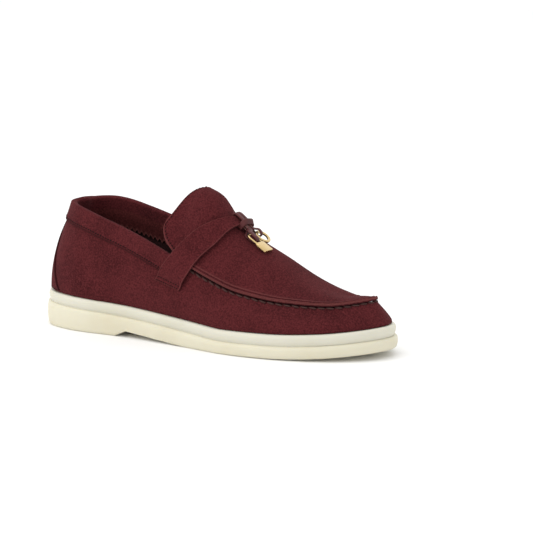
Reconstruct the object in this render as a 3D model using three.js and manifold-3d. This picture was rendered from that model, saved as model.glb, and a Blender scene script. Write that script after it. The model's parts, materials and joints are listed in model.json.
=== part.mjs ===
// A right-foot penny loafer with a hand-sewn apron, a saddle strap, and two metal charms on a knotted lace.
// +X points to the toe, +Y to the inner side of the foot, +Z up. The origin lies on the ground under the
// middle of the sole. Millimetres.
//
// The upper is described by stations along the shoe. At each station and on each side a profile climbs from
// the feather line, where the upper meets the midsole, to the seam or the topline, and from the seam over
// the instep to the ridge. A leather piece is a stretch of those profiles with a depth under the surface.

import * as THREE from "three";
import Module from "manifold-3d";

// ---------- Driving dimensions ----------
const soleLength = 268;
const soleWidth = 89; // across the ball
const outsoleThickness = 8.3;
const heelRise = 8.9; // how much higher the heel seat is than the ball
const toeSpring = 5.4;
const midsoleThickness = 7.5;
const heelBlockEnd = -0.226; // breast of the heel, as a share of the length from the middle
const archHeight = 4.4;
const breastSlope = 10; // the breast leans over this length

const backHeight = 87.5; // topline at the back of the heel
const junctionHeight = 54.5; // where topline and apron seam meet
const toeSeamHeight = 35;
const innerSideRise = 7; // the inner side of the topline is higher
const instepHeight = 78.5; // ridge under the strap
const tongueHeight = 102.5;
const junctionAt = -0.019; // share of the length from the middle

const suede = 1.3; // thickness of the outer leather
const bandThickness = 0.8;
const facingThickness = 0.7;
const liningThickness = 0.7;
const counterThickness = 0.8;
const puffThickness = 0.6;
const lastingMargin = 12;
const gap = 0.3; // between pieces that touch

const bandWidth = 11.5; // collar band
const facingWidth = 22; // pinked facing inside the collar
const pinkDepth = 2.4;
const pinkPitch = 4.2;
const backstayHalfWidth = 29;

const boardThickness = 2;
const heelPadThickness = 3;
const footbedThickness = 1.8;
const shankWidth = 13;
const shankThickness = 1.0;

const lipOverhang = 1.1; // the apron's edge stands over the wall
const lipRise = 1.0;
const threadDiameter = 1.1;
const fineThread = 0.7;

const strapWidth = 21; // at its sewn ends
const strapWaist = 7.5; // under the knot
const strapThickness = 1.4;
const strapLift = 4; // room for the lace under the strap at the ridge
const strapKnotAt = 0.08; // the knot's station, share of the length

const laceWidth = 3;
const laceThickness = 1.5;
const ribbonThickness = 1.1; // the lace where it is folded round a charm
const charmGap = 0.45; // at rest, between a charm and the vamp

const ringOuter = 11.6;
const ringInner = 7.4;
const ringThickness = 1.5;
const ringRibbon = 2.6;
const ringAt = [31.4, 5.3]; // the middle of the near rim, which hangs in the lace
const ringEnd = [40.8, 5.3];

const lockLength = 9.2;
const lockWidth = 7.8;
const lockThickness = 2;
const lockRibbon = 3.9;
const shackleWire = 1.25;
const shackleHeight = 9; // from the body to the middle of the bow
const lockAt = [31.8, -5.6]; // the middle of the bow, which hangs in the lace
const lockEnd = [48, -5.6];

// ---------- Small helpers ----------
const OUTER = -1; // the outer side of a right foot is -Y
const INNER = 1;
const SIDES = [OUTER, INNER];
const half = soleLength / 2;
const radians = THREE.MathUtils.degToRad;
const mix = THREE.MathUtils.lerp;
const ease = (t) => THREE.MathUtils.smoothstep(t, 0, 1);
const range = (n) => Array.from({ length: n }, (_, i) => i);
const vec = (x, y, z) => new THREE.Vector3(x, y, z);

// A smooth curve through [station, value] pairs, level beyond its ends and never overshooting.
function through(pairs) {
  const xs = pairs.map((p) => p[0]);
  const ys = pairs.map((p) => p[1]);
  const slope = range(xs.length - 1).map((i) => (ys[i + 1] - ys[i]) / (xs[i + 1] - xs[i]));
  const tangent = xs.map((_, i) => {
    const before = slope[Math.max(i - 1, 0)];
    const after = slope[Math.min(i, slope.length - 1)];
    return before * after <= 0 ? 0 : (2 * before * after) / (before + after);
  });
  return (x) => {
    if (x <= xs[0]) return ys[0];
    if (x >= xs.at(-1)) return ys.at(-1);
    const i = xs.findIndex((_, k) => x <= xs[k + 1]);
    const h = xs[i + 1] - xs[i];
    const t = (x - xs[i]) / h;
    return (
      ys[i] * (2 * t ** 3 - 3 * t ** 2 + 1) +
      h * tangent[i] * (t ** 3 - 2 * t ** 2 + t) +
      ys[i + 1] * (3 * t ** 2 - 2 * t ** 3) +
      h * tangent[i + 1] * (t ** 3 - t ** 2)
    );
  };
}

// The same, with the stations given as shares of the sole's length from its middle.
const alongSole = (pairs) => {
  const curve = through(pairs);
  return (x) => curve(x / soleLength);
};

// Collects triangles, merges their corners, and drops pairs that lie back to back where a piece folds shut.
class Skin {
  constructor() {
    this.points = [];
    this.indexOf = new Map();
    this.faces = new Map();
  }

  corner(p) {
    const key = [p.x, p.y, p.z].map((c) => Math.round(c * 1e3)).join();
    if (!this.indexOf.has(key)) {
      this.indexOf.set(key, this.points.length);
      this.points.push(p);
    }
    return this.indexOf.get(key);
  }

  triangle(p, q, r) {
    const face = [p, q, r].map((c) => this.corner(c));
    if (new Set(face).size < 3) return;
    const least = face.indexOf(Math.min(...face));
    const turned = [0, 1, 2].map((i) => face[(least + i) % 3]);
    const opposite = [turned[0], turned[2], turned[1]].join();
    if (this.faces.has(opposite)) this.faces.delete(opposite);
    else this.faces.set(turned.join(), turned);
  }

  quad(p, q, r, s) {
    this.triangle(p, q, r);
    this.triangle(p, r, s);
  }

  geometry() {
    const used = new Map();
    const position = [];
    const index = [...this.faces.values()].flat().map((i) => {
      if (!used.has(i)) {
        used.set(i, used.size);
        position.push(...this.points[i]);
      }
      return used.get(i);
    });
    const made = new THREE.BufferGeometry();
    made.setAttribute("position", new THREE.Float32BufferAttribute(position, 3));
    made.setIndex(volume(position, index) < 0 ? index.reverse() : index);
    return made;
  }
}

function volume(position, index) {
  const at = (i) => vec(...position.slice(3 * i, 3 * i + 3));
  let sum = 0;
  for (let i = 0; i < index.length; i += 3) {
    sum += at(index[i]).dot(at(index[i + 1]).cross(at(index[i + 2])));
  }
  return sum / 6;
}

// A solid between closed sections of equal length. Its ends are closed by strips between facing points of
// the section: point i faces point n-1-i, or n-i where the section has a tip at 0 and at n/2.
function loft(sections, { loop = false, tips = false } = {}) {
  const skin = new Skin();
  const n = sections[0].length;
  const facing = (i) => (tips ? (n - i) % n : n - 1 - i);
  const ends = loop ? [...sections, sections[0]] : sections;
  for (let k = 0; k + 1 < ends.length; k++) {
    for (let i = 0; i < n; i++) {
      const j = (i + 1) % n;
      skin.quad(ends[k][i], ends[k][j], ends[k + 1][j], ends[k + 1][i]);
    }
  }
  if (!loop) {
    const [first, last] = [sections[0], sections.at(-1)];
    const strips = n / 2 - (tips ? 0 : 1);
    for (let i = 0; i < strips; i++) {
      const corners = [i, i + 1, facing(i + 1), facing(i)];
      if (i >= strips / 2) corners.unshift(corners.pop()); // mirrored, so that a folded end cancels
      skin.quad(...corners.map((c) => last[c]));
      skin.quad(...corners.toReversed().map((c) => first[c]));
    }
  }
  return skin.geometry();
}

// A sheet between two sets of rows of points, its face and its back.
const sheet = (face, back, options) =>
  loft(
    face.map((row, k) => [...row, ...back[k].toReversed()]),
    options,
  );

// A round cord along a curve.
function cord(curve, diameter, steps, sides = 8) {
  const circle = new THREE.Shape(
    range(sides).map((i) => {
      const turn = (2 * Math.PI * i) / sides;
      return new THREE.Vector2((Math.cos(turn) * diameter) / 2, (Math.sin(turn) * diameter) / 2);
    }),
  );
  return new THREE.ExtrudeGeometry(circle, { steps, extrudePath: curve, bevelEnabled: false });
}

const curveThrough = (points) => new THREE.CatmullRomCurve3(points, false, "centripetal");

// ---------- Booleans ----------
const wasm = await Module();
wasm.setup();

function toSolid(geometry) {
  const flat = geometry.index ? geometry.toNonIndexed() : geometry;
  const skin = new Skin();
  const position = flat.getAttribute("position");
  const at = (i) => new THREE.Vector3().fromBufferAttribute(position, i);
  for (let i = 0; i < position.count; i += 3) skin.triangle(at(i), at(i + 1), at(i + 2));
  const merged = skin.geometry();
  return new wasm.Manifold(
    new wasm.Mesh({
      numProp: 3,
      vertProperties: merged.getAttribute("position").array,
      triVerts: new Uint32Array(merged.index.array),
    }),
  );
}

function fromSolid(solid) {
  const mesh = solid.getMesh();
  const made = new THREE.BufferGeometry();
  const position = [];
  for (let i = 0; i < mesh.numVert; i++) {
    position.push(...mesh.vertProperties.subarray(i * mesh.numProp, i * mesh.numProp + 3));
  }
  made.setAttribute("position", new THREE.Float32BufferAttribute(position, 3));
  made.setIndex([...mesh.triVerts]);
  return made;
}

// ---------- The sole's outline ----------
// Each point is a share of the length from the middle, and a share of the width. It starts at the heel's
// back and runs along the outer side, round the toe and back along the inner side.
const outlinePoints = [
  [-0.5, 0],
  [-0.463, -0.247],
  [-0.366, -0.365],
  [-0.187, -0.371],
  [0, -0.434],
  [0.142, -0.494],
  [0.284, -0.449],
  [0.403, -0.303],
  [0.478, -0.096],
  [0.5, 0.09],
  [0.47, 0.292],
  [0.373, 0.455],
  [0.224, 0.506],
  [0.056, 0.41],
  [-0.131, 0.309],
  [-0.336, 0.348],
  [-0.455, 0.253],
];
const outlineCurve = new THREE.CatmullRomCurve3(
  outlinePoints.map(([x, y]) => vec(x * soleLength, y * soleWidth, 0)),
  true,
  "centripetal",
);
const outlineSamples = outlineCurve.getPoints(1200).slice(0, -1);
const outlineBox = new THREE.Box3().setFromPoints(outlineSamples);
const outlineStretch = soleLength / (outlineBox.max.x - outlineBox.min.x);
const outlineCentre = outlineBox.getCenter(vec(0, 0, 0));
for (const p of outlineSamples) p.sub(outlineCentre).multiplyScalar(outlineStretch);

// One side of the outline as points that run from the heel's back to the toe's tip, with outward normals.
function sideOfOutline(side) {
  const count = outlineSamples.length;
  const lowest = outlineSamples.reduce((best, p, i) => (p.x < outlineSamples[best].x ? i : best), 0);
  const points = [];
  for (let i = 0; i < count; i++) {
    const here = (lowest + (side === OUTER ? i : -i) + 2 * count) % count;
    const before = outlineSamples[(here - 3 + count) % count];
    const after = outlineSamples[(here + 3) % count];
    const along = after.clone().sub(before).normalize();
    const p = outlineSamples[here];
    if (points.length && p.x <= points.at(-1).x) break;
    points.push({ x: p.x, y: p.y, nx: along.y, ny: -along.x });
  }
  return points;
}
const outlineSides = { [OUTER]: sideOfOutline(OUTER), [INNER]: sideOfOutline(INNER) };

// The outline's point at station x, moved inwards.
function outline(x, side, inset) {
  const points = outlineSides[side];
  let i = points.findIndex((p) => p.x >= x);
  if (i < 0) i = points.length - 1;
  const b = points[Math.max(i, 1)];
  const a = points[Math.max(i, 1) - 1];
  const t = THREE.MathUtils.clamp((x - a.x) / (b.x - a.x), 0, 1);
  const normal = new THREE.Vector2(mix(a.nx, b.nx, t), mix(a.ny, b.ny, t)).normalize();
  return new THREE.Vector2(
    mix(a.x, b.x, t) - normal.x * inset,
    mix(a.y, b.y, t) - normal.y * inset,
  );
}

// ---------- Heights of the sole ----------
const heelShare = alongSole([
  [-0.5, 1],
  [-0.22, 0.66],
  [0.11, 0],
]);
const springShare = alongSole([
  [0.1, 0],
  [0.26, 0.08],
  [0.37, 0.35],
  [0.5, 1],
]);
const groundAt = (x) => toeSpring * springShare(x);
const outsoleTop = (x) => outsoleThickness + heelRise * heelShare(x) + groundAt(x);
const midsoleTop = (x) => outsoleTop(x) + midsoleThickness;

// ---------- Stations ----------
const junctionX = junctionAt * soleLength;
const rearStations = 18;
const frontStations = 19;
const rearX = range(rearStations + 1).map(
  (j) => junctionX - (half + junctionX) * Math.sin((Math.PI / 2) * (1 - j / rearStations)),
);
const frontX = range(frontStations + 1).map(
  (j) => junctionX + (half - junctionX) * Math.sin(((Math.PI / 2) * j) / frontStations),
);
const stationX = [...rearX, ...frontX.slice(1)];

// Stations from one point of the outline to another, each with its side, by way of the toe or the heel.
const byToe = (from) => [
  ...stationX.filter((x) => x >= from).map((x) => [x, OUTER]),
  ...stationX.filter((x) => x >= from).slice(0, -1).reverse().map((x) => [x, INNER]),
];
const byHeel = (to) => [
  ...stationX.filter((x) => x <= to).reverse().map((x) => [x, OUTER]),
  ...stationX.filter((x) => x <= to).slice(1).map((x) => [x, INNER]),
];

// ---------- The upper's surface ----------
const featherInset = 2.4;
const endTuck = alongSole([
  [-0.5, 1.2],
  [-0.38, 0],
  [0.4, 0],
  [0.5, 1],
]);
const spineHeel = -0.355 * soleLength;
const spineToe = 0.38 * soleLength;
const spineSoftness = 8;
const toeShift = 7; // the toe points to the inner side
const soft = (t) => spineSoftness * Math.log(1 + Math.exp(t / spineSoftness));
const spineX = (x) => spineHeel + soft(x - spineHeel) - soft(x - spineToe);
const spineY = (x) => toeShift * ease((x / soleLength - 0.05) / 0.4);

const wallTopHeight = alongSole([
  [-0.5, backHeight],
  [-0.37, backHeight - 3],
  [-0.26, mix(junctionHeight, backHeight, 0.68)],
  [-0.093, mix(junctionHeight, backHeight, 0.23)],
  [junctionAt, junctionHeight],
  [0.06, mix(toeSeamHeight, junctionHeight, 0.574)],
  [0.15, mix(toeSeamHeight, junctionHeight, 0.2)],
  [0.27, toeSeamHeight - 0.4],
  [0.38, toeSeamHeight - 1.6],
  [0.5, toeSeamHeight + 1],
]);
const innerRiseShare = alongSole([
  [-0.45, 0],
  [-0.27, 0.65],
  [-0.14, 1],
  [-0.05, 0.9],
  [0, 0.7],
  [0.15, 0],
  [0.36, -0.3],
  [0.42, -0.3],
  [0.5, 0],
]);
const wallTopInset = alongSole([
  [-0.5, 22],
  [-0.463, 15.5],
  [-0.41, 10.5],
  [-0.366, 7.5],
  [-0.26, 5],
  [-0.1, 4],
  [junctionAt, 4.5],
  [0.08, 7.5],
  [0.2, 10.5],
  [0.35, 11.4],
  [0.5, 10.8],
]);
const wallLean = alongSole([
  [-0.5, 28],
  [-0.44, 18],
  [-0.36, 10],
  [-0.1, 9],
  [junctionAt, 14],
  [0.1, 30],
  [0.25, 42],
  [0.5, 46],
]);
const wallBulge = alongSole([
  [-0.5, -1],
  [-0.4, 1.6],
  [-0.1, 2.2],
  [0.2, 2.2],
  [0.38, 0.4],
  [0.5, -2.5],
]);
const ridgeHeight = alongSole([
  [junctionAt, tongueHeight],
  [0.015, mix(instepHeight, tongueHeight, 0.82)],
  [0.04, mix(instepHeight, tongueHeight, 0.45)],
  [0.075, instepHeight],
  [0.2, mix(toeSeamHeight, instepHeight, 0.56)],
  [0.27, mix(toeSeamHeight, instepHeight, 0.31)],
  [0.336, mix(toeSeamHeight, instepHeight, 0.135)],
  [0.38, mix(toeSeamHeight, instepHeight, 0.06)],
]);
const archStart = alongSole([
  [junctionAt, 71],
  [0.075, 62],
  [0.2, 49],
  [0.3, 34],
  [0.4, 22],
  [0.5, 14],
]);

// What is needed to draw a profile: its foot on the feather line, its direction inwards, and its top.
function station(x, side) {
  const foot = outline(x, side, featherInset + endTuck(x));
  const spine = new THREE.Vector2(spineX(x), spineY(spineX(x)));
  const inwards = spine.clone().sub(foot);
  const reach = inwards.length();
  inwards.divideScalar(reach);
  const rise = side === INNER ? innerSideRise * innerRiseShare(x) : 0;
  return {
    foot,
    inwards,
    reach,
    bottom: midsoleTop(foot.x) + gap,
    top: new THREE.Vector2(wallTopInset(x), wallTopHeight(x) + rise),
    ridge: new THREE.Vector2(reach, ridgeHeight(spineX(x))),
    lean: radians(wallLean(x)),
    bulge: wallBulge(x),
    start: radians(archStart(x)),
  };
}

// Profiles are drawn in the upright plane through the foot and the spine: (distance inwards, height).
const place = (s, p) =>
  vec(s.foot.x + s.inwards.x * p.x, s.foot.y + s.inwards.y * p.x, p.y);

function wallCurve(s) {
  const height = s.top.y - s.bottom;
  const handle = 0.38 * height;
  return new THREE.CubicBezierCurve(
    new THREE.Vector2(0, s.bottom + suede),
    new THREE.Vector2(-s.bulge, s.bottom + 0.36 * height),
    new THREE.Vector2(s.top.x - handle * Math.sin(s.lean), s.top.y - handle * Math.cos(s.lean)),
    s.top,
  );
}

function archCurve(s, from = s.top) {
  const across = s.ridge.x - from.x;
  const handle = 0.45 * Math.hypot(across, s.ridge.y - from.y);
  return new THREE.CubicBezierCurve(
    from,
    new THREE.Vector2(from.x + handle * Math.cos(s.start), from.y + handle * Math.sin(s.start)),
    new THREE.Vector2(s.ridge.x - 0.45 * across, s.ridge.y),
    s.ridge,
  );
}

// The point of a curve at a share of it, moved a depth under the surface.
function below(curve, t, depth) {
  const along = curve.getTangent(t);
  return curve.getPoint(t).add(new THREE.Vector2(along.y, -along.x).multiplyScalar(depth));
}

// A row of points on a curve from share a to share b, moved a depth under the surface. The depth is a
// number, or a function of how far along the row a point is.
function row(curve, a, b, count, depth) {
  return range(count).map((i) => {
    const u = i / (count - 1);
    const t = mix(a, b, u);
    return below(curve, t, typeof depth === "function" ? depth(u) : depth);
  });
}

// The share of a wall's curve that lies a given length below its top.
function shareBelowTop(curve, length) {
  return 1 - THREE.MathUtils.clamp(length / curve.getLength(), 0, 1);
}

// A leather piece on the wall: at each station a stretch of the wall's curve, between two depths.
function wallPiece(stations, shares, outerDepth, innerDepth, count) {
  const rows = (depth) =>
    stations.map(([x, side], k) => {
      const s = station(x, side);
      const curve = wallCurve(s);
      const [a, b] = shares(curve, k, x, s);
      return row(curve, a, b, count, depth).map((p) => place(s, p));
    });
  return sheet(rows(outerDepth), rows(innerDepth));
}

// ---------- Sole unit ----------
// A ring of the outline at an inset, starting at the heel's tip. Heights and insets may vary along it.
const along = (value, x) => (typeof value === "function" ? value(x) : value);
function ring(inset, height, from = -half, to = half) {
  const xs = stationX.filter((x) => x >= from && x <= to);
  const at = (x, side) => {
    const p = outline(x, side, along(inset, x));
    return vec(p.x, p.y, height(p.x));
  };
  const outer = xs.map((x) => at(x, OUTER));
  const inner = xs.slice(1, -1).map((x) => at(x, INNER));
  return [...outer, ...inner.reverse()];
}

function makeOutsole() {
  const top = (x) => outsoleTop(x) - gap / 2;
  const share = (t, drop = 0) => (x) => mix(groundAt(x), top(x), t) - drop;
  const rings = [
    ring(1.6, top),
    ring(0.4, share(1, 1.1)),
    ring(-0.5, share(0.55)),
    ring(-0.1, share(0.22)),
    ring(1.4, groundAt),
  ];
  const full = toSolid(loft(rings, { tips: true }));
  const breast = heelBlockEnd * soleLength;
  const below = -5;
  const archEnd = 0.01 * soleLength;
  const archSide = new THREE.Shape();
  archSide.moveTo(breast, 0);
  archSide.lineTo(breast + breastSlope, archHeight);
  archSide.quadraticCurveTo(mix(breast, archEnd, 0.6), archHeight * 0.45, archEnd, 0);
  archSide.lineTo(archEnd, below);
  archSide.lineTo(breast, below);
  const cutter = new THREE.ExtrudeGeometry(archSide, {
    depth: 2 * soleWidth,
    bevelEnabled: false,
    curveSegments: 8,
  });
  cutter.rotateX(Math.PI / 2);
  cutter.translate(0, soleWidth, 0);
  return fromSolid(full.subtract(toSolid(cutter)));
}

function makeMidsole() {
  const low = (x) => outsoleTop(x) + gap / 2;
  const share = (t) => (x) => mix(low(x), midsoleTop(x), t);
  return loft(
    [
      ring(2.0, low),
      ring(1.1, share(0.2)),
      ring(0.8, share(0.5)),
      ring(1.2, share(0.82)),
      ring(2.4, midsoleTop),
    ],
    { tips: true },
  );
}

// ---------- Inside the bottom ----------
const flangeTop = gap + suede; // over the midsole: the lasted edge of the upper
const boardBottom = flangeTop + gap;
const boardTop = boardBottom + boardThickness;
const over = (height) => (x) => midsoleTop(x) + height;

const slab = (inset, low, high, from, to) =>
  loft([ring(inset, low, from, to), ring(inset, high, from, to)], { tips: true });

// The pieces inside keep clear of the wall, which leans in at the heel and the toe.
const clearOfWall = alongSole([
  [-0.5, 2.6],
  [-0.38, 0],
  [0.2, 0],
  [0.34, 2.6],
  [0.5, 3.2],
]);
const within = (inset) => (x) => featherInset + inset + clearOfWall(x);

const makeInsoleBoard = () => slab(within(2.2), over(boardBottom), over(boardTop));

const makeBottomFiller = () =>
  slab(
    featherInset + lastingMargin + 1,
    over(gap),
    over(flangeTop - 0.2),
    0.03 * soleLength,
    0.42 * soleLength,
  );

// The pad thins out forwards, and the footbed runs down from it on to the board.
const padTop = alongSole([
  [-0.26, heelPadThickness],
  [-0.14, 0.9],
  [-0.04, 0],
]);
const padGap = alongSole([
  [-0.1, gap],
  [-0.04, 0],
]);
const padEnd = -0.12 * soleLength;
const makeHeelPad = () =>
  slab(
    within(6.5),
    over(boardTop + gap),
    (x) => over(boardTop + gap)(x) + padTop(x),
    -half,
    padEnd,
  );

function makeFootbed() {
  const low = (x) => over(boardTop + gap)(x) + padTop(x) + padGap(x);
  return slab(within(5.4), low, (x) => low(x) + footbedThickness);
}

function makeShank() {
  const xs = range(13).map((i) => mix(-0.36, -0.03, i / 12) * soleLength);
  const rows = (height) =>
    xs.map((x) => SIDES.map((side) => vec(x, (side * shankWidth) / 2, midsoleTop(x) + height)));
  return sheet(rows(gap + shankThickness), rows(gap));
}

// ---------- Upper ----------
// The wrap is one piece of suede from the heel seam round the toe and back, with its lasted edge.
function makeWrap() {
  const seamGap = 0.2;
  const backSeam = -half + seamGap ** 2 / 40;
  const xs = [backSeam, ...stationX.slice(1)];
  const stations = [
    ...xs.map((x) => [x, OUTER]),
    ...xs.slice(0, -1).reverse().map((x) => [x, INNER]),
  ];
  const fold = 1.2;
  const flange = (s, distance, height) => {
    const p = place(s, new THREE.Vector2(distance, 0));
    return p.setZ(midsoleTop(p.x) + gap + height);
  };
  const rows = (depth) =>
    stations.map(([x, side]) => {
      const s = station(x, side);
      return [
        flange(s, lastingMargin, depth),
        flange(s, fold + suede, depth),
        flange(s, fold * 0.3 + depth, depth + fold * 0.25),
        ...row(wallCurve(s), 0.03, 1, 8, depth).map((p) => place(s, p)),
      ];
    });
  return sheet(rows(0), rows(suede));
}

const counterTop = facingWidth + pinkDepth + 2;
const makeHeelCounter = () =>
  wallPiece(
    byHeel(-0.27 * soleLength),
    (curve) => [0.13, shareBelowTop(curve, counterTop)],
    suede + gap,
    suede + gap + counterThickness,
    5,
  );

// The lining of heel and quarters runs from the footbed up under the facing, and forward to the vamp's.
const pocketDepth = suede + gap + counterThickness + gap;
const vampLiningStart = 0.14 * soleLength;
const makeQuarterLining = () =>
  wallPiece(
    byHeel(vampLiningStart - 6),
    (curve, k, x) => [
      1 - shareBelowTop(curve, 9.5),
      shareBelowTop(curve, x < junctionX ? bandWidth + 4.5 : 5),
    ],
    pocketDepth,
    pocketDepth + liningThickness,
    5,
  );

const makeToePuff = () =>
  wallPiece(
    byToe(0.36 * soleLength),
    () => [0.3, 0.9],
    suede + gap,
    suede + gap + puffThickness,
    4,
  );

const backstayEdge = outlineSides[OUTER].find(
  (p) => Math.hypot(p.x + half, p.y) > backstayHalfWidth,
).x;
const makeBackstay = () =>
  wallPiece(
    byHeel(backstayEdge),
    (curve) => [0.05, shareBelowTop(curve, bandWidth + 1)],
    -bandThickness - gap,
    -gap,
    7,
  );

// The pinked facing lies over the lining: its lower edge is a zigzag, a tooth for every pitch.
const facingDepth = suede + gap + 0.2;
function makeFacing() {
  const line = byHeel(junctionX - 3);
  const path = line.map(([x, side]) => {
    const s = station(x, side);
    return place(s, s.top);
  });
  const lengths = [0];
  for (let i = 1; i < path.length; i++) lengths.push(lengths[i - 1] + path[i].distanceTo(path[i - 1]));
  const teeth = Math.round(lengths.at(-1) / pinkPitch);
  const signed = line.map(([x, side], i) => [lengths[i], side * (x + half)]);
  const xAt = through(signed);
  const stations = range(2 * teeth + 1).map((i) => {
    const signedX = xAt((lengths.at(-1) * i) / (2 * teeth));
    return [Math.abs(signedX) - half, signedX < 0 ? OUTER : INNER];
  });
  const under = pocketDepth + liningThickness + gap + 0.15;
  const settle = (depth) => (u) => mix(under, facingDepth, ease((u - 0.45) / 0.45)) + depth;
  return wallPiece(
    stations,
    (curve, k) => [shareBelowTop(curve, facingWidth + (k % 2 ? pinkDepth : 0)), 1],
    settle(0),
    settle(facingThickness),
    4,
  );
}

// The collar band lies on the outside, turns over the top edge and ends over the facing.
function makeCollarBand() {
  const inner = facingDepth + facingThickness + gap;
  const stations = byHeel(junctionX - 1);
  const section = (s) => {
    const curve = wallCurve(s);
    const low = shareBelowTop(curve, bandWidth);
    const along = curve.getTangent(1);
    const across = new THREE.Vector2(along.y, -along.x);
    const top = (depth, lift) =>
      s.top.clone().addScaledVector(across, depth).addScaledVector(along, lift);
    const face = [
      ...row(curve, low, 1, 5, -gap - bandThickness),
      top(-gap - bandThickness * 0.7, gap + bandThickness * 0.8),
      top(inner / 2, gap + bandThickness),
      top(inner - 0.2, gap + bandThickness * 0.8),
      top(inner, gap),
    ];
    const back = [
      ...row(curve, low, 1, 5, -gap),
      top(-gap * 0.9, gap * 0.9),
      top(inner / 2 - 0.2, gap),
      top(inner / 2 + 0.2, gap),
      top(inner - 0.4, gap),
    ];
    return [...face, ...back.reverse()].map((p) => place(s, p));
  };
  return loft(stations.map(([x, side]) => section(station(x, side))));
}

// ---------- Apron and tongue ----------
// Each side of an apron section is an arch from the edge to the ridge. Behind the junction the edge leaves
// the wall and climbs as the free edge of the tongue.
// In front of the junction the edge stands over the wall's top edge; at the junction it passes inside it.
const seamLift = suede + gap + 0.1;
const edgeInside = 0.9;
function apronEdge(s, x) {
  const shift = mix(edgeInside, -lipOverhang, ease((x - junctionX) / 7));
  return s.top.clone().add(new THREE.Vector2(shift, seamLift));
}

const tongueSections = 6;
const tongueBack = -22; // how far the tongue's edges run back from the junction
const tongueClimb = 20;
const ridgeBack = -1;
const tongueCorner = 0.5; // where the corners start to turn in
const tongueTop = 0.84; // share of the width left at the top edge

function tongueStation(t, side) {
  const s = station(junctionX, side);
  const back = tongueBack * t ** 0.8;
  const edge = place(s, apronEdge(s, junctionX)).add(vec(back, -side * 2.5 * t, tongueClimb * t));
  const ridge = vec(
    s.foot.x + s.inwards.x * s.reach + ridgeBack * t,
    spineY(junctionX),
    mix(s.ridge.y, tongueHeight, ease(t)),
  );
  const inwards = new THREE.Vector2(ridge.x - edge.x, ridge.y - edge.y);
  const reach = inwards.length();
  inwards.divideScalar(reach);
  return {
    foot: new THREE.Vector2(edge.x, edge.y),
    inwards,
    reach,
    edge: new THREE.Vector2(0, edge.z),
    ridge: new THREE.Vector2(reach, ridge.z),
    start: radians(mix(71, 36, t)),
    lip: 0,
  };
}

function tongueTrim(t) {
  if (t <= tongueCorner) return 0;
  const turn = (t - tongueCorner) / (1 - tongueCorner);
  return (1 - tongueTop) * (1 - Math.sqrt(1 - turn ** 2));
}

function apronStation(x, side) {
  const s = station(x, side);
  return { ...s, edge: apronEdge(s, x), lip: lipRise * ease((x - junctionX) / 7) };
}

// The lip is a swelling of the face along the edge: its height at each of the first shares.
const lipShares = [0, 0.05, 0.11];
const lipShape = [0.5, 1, 0.2];
const archCount = 8;
function archRow(s, trim, depth) {
  const curve = archCurve(s, s.edge);
  const shares = [...lipShares, ...range(archCount).map((i) => mix(0.2, 1, i / (archCount - 1)))];
  return shares.map((t, i) => {
    const swell = depth > 0 ? 0 : s.lip * (lipShape[i] ?? 0);
    return place(s, below(curve, mix(trim, 1, t), depth - swell));
  });
}

function apronSections(depth, end, margin = 0) {
  const tongue = range(tongueSections)
    .map((i) => 1 - i / tongueSections)
    .map((t) => SIDES.map((side) => archRow(tongueStation(t, side), tongueTrim(t) + margin, depth)));
  const front = frontX
    .filter((x) => x <= end)
    .map((x) => SIDES.map((side) => archRow(apronStation(x, side), margin, depth)));
  return [...tongue, ...front].map(([outer, inner]) => [...outer, ...inner.reverse().slice(1)]);
}

const makeApron = () => sheet(apronSections(0, half), apronSections(suede, half));

function makeTongueLining() {
  const end = 0.13 * soleLength;
  const depth = suede + gap + 0.25;
  return sheet(
    apronSections(depth, end, 0.07),
    apronSections(depth + liningThickness, end, 0.07),
  );
}

// The vamp lining runs up the wall, over the seam and across under the apron.
function makeVampLining() {
  const from = vampLiningStart;
  const depth = suede + gap + puffThickness + gap;
  const rows = (d) =>
    frontX
      .filter((x) => x >= from)
      .map((x) => {
        const [outer, inner] = SIDES.map((side) => {
          const s = station(x, side);
          const curve = wallCurve(s);
          const wall = row(curve, 1 - shareBelowTop(curve, 8.5), 0.85, 3, d);
          const arch = row(archCurve(s), 0.16, 1, 6, d);
          return [...wall, ...arch].map((p) => place(s, p));
        });
        return [...outer, ...inner.reverse().slice(1)];
      });
  return sheet(rows(depth), rows(depth + liningThickness));
}

// ---------- Threads ----------
// A point on the wall, a length below its top and a height over the surface.
function onWall(x, side, drop, height) {
  const s = station(x, side);
  const curve = wallCurve(s);
  return place(s, below(curve, shareBelowTop(curve, drop), -height));
}

function makeApronThread() {
  const height = threadDiameter / 2 + gap;
  const points = byToe(junctionX + 2).map(([x, side]) => onWall(x, side, 1.1, height));
  return cord(curveThrough(points), threadDiameter, 72, 5);
}

function makeCollarThread() {
  const height = bandThickness + 2 * gap + fineThread / 2;
  const points = byHeel(junctionX - 20).map(([x, side]) => onWall(x, side, bandWidth - 1.6, height));
  return cord(curveThrough(points), fineThread, 56, 4);
}

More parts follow.
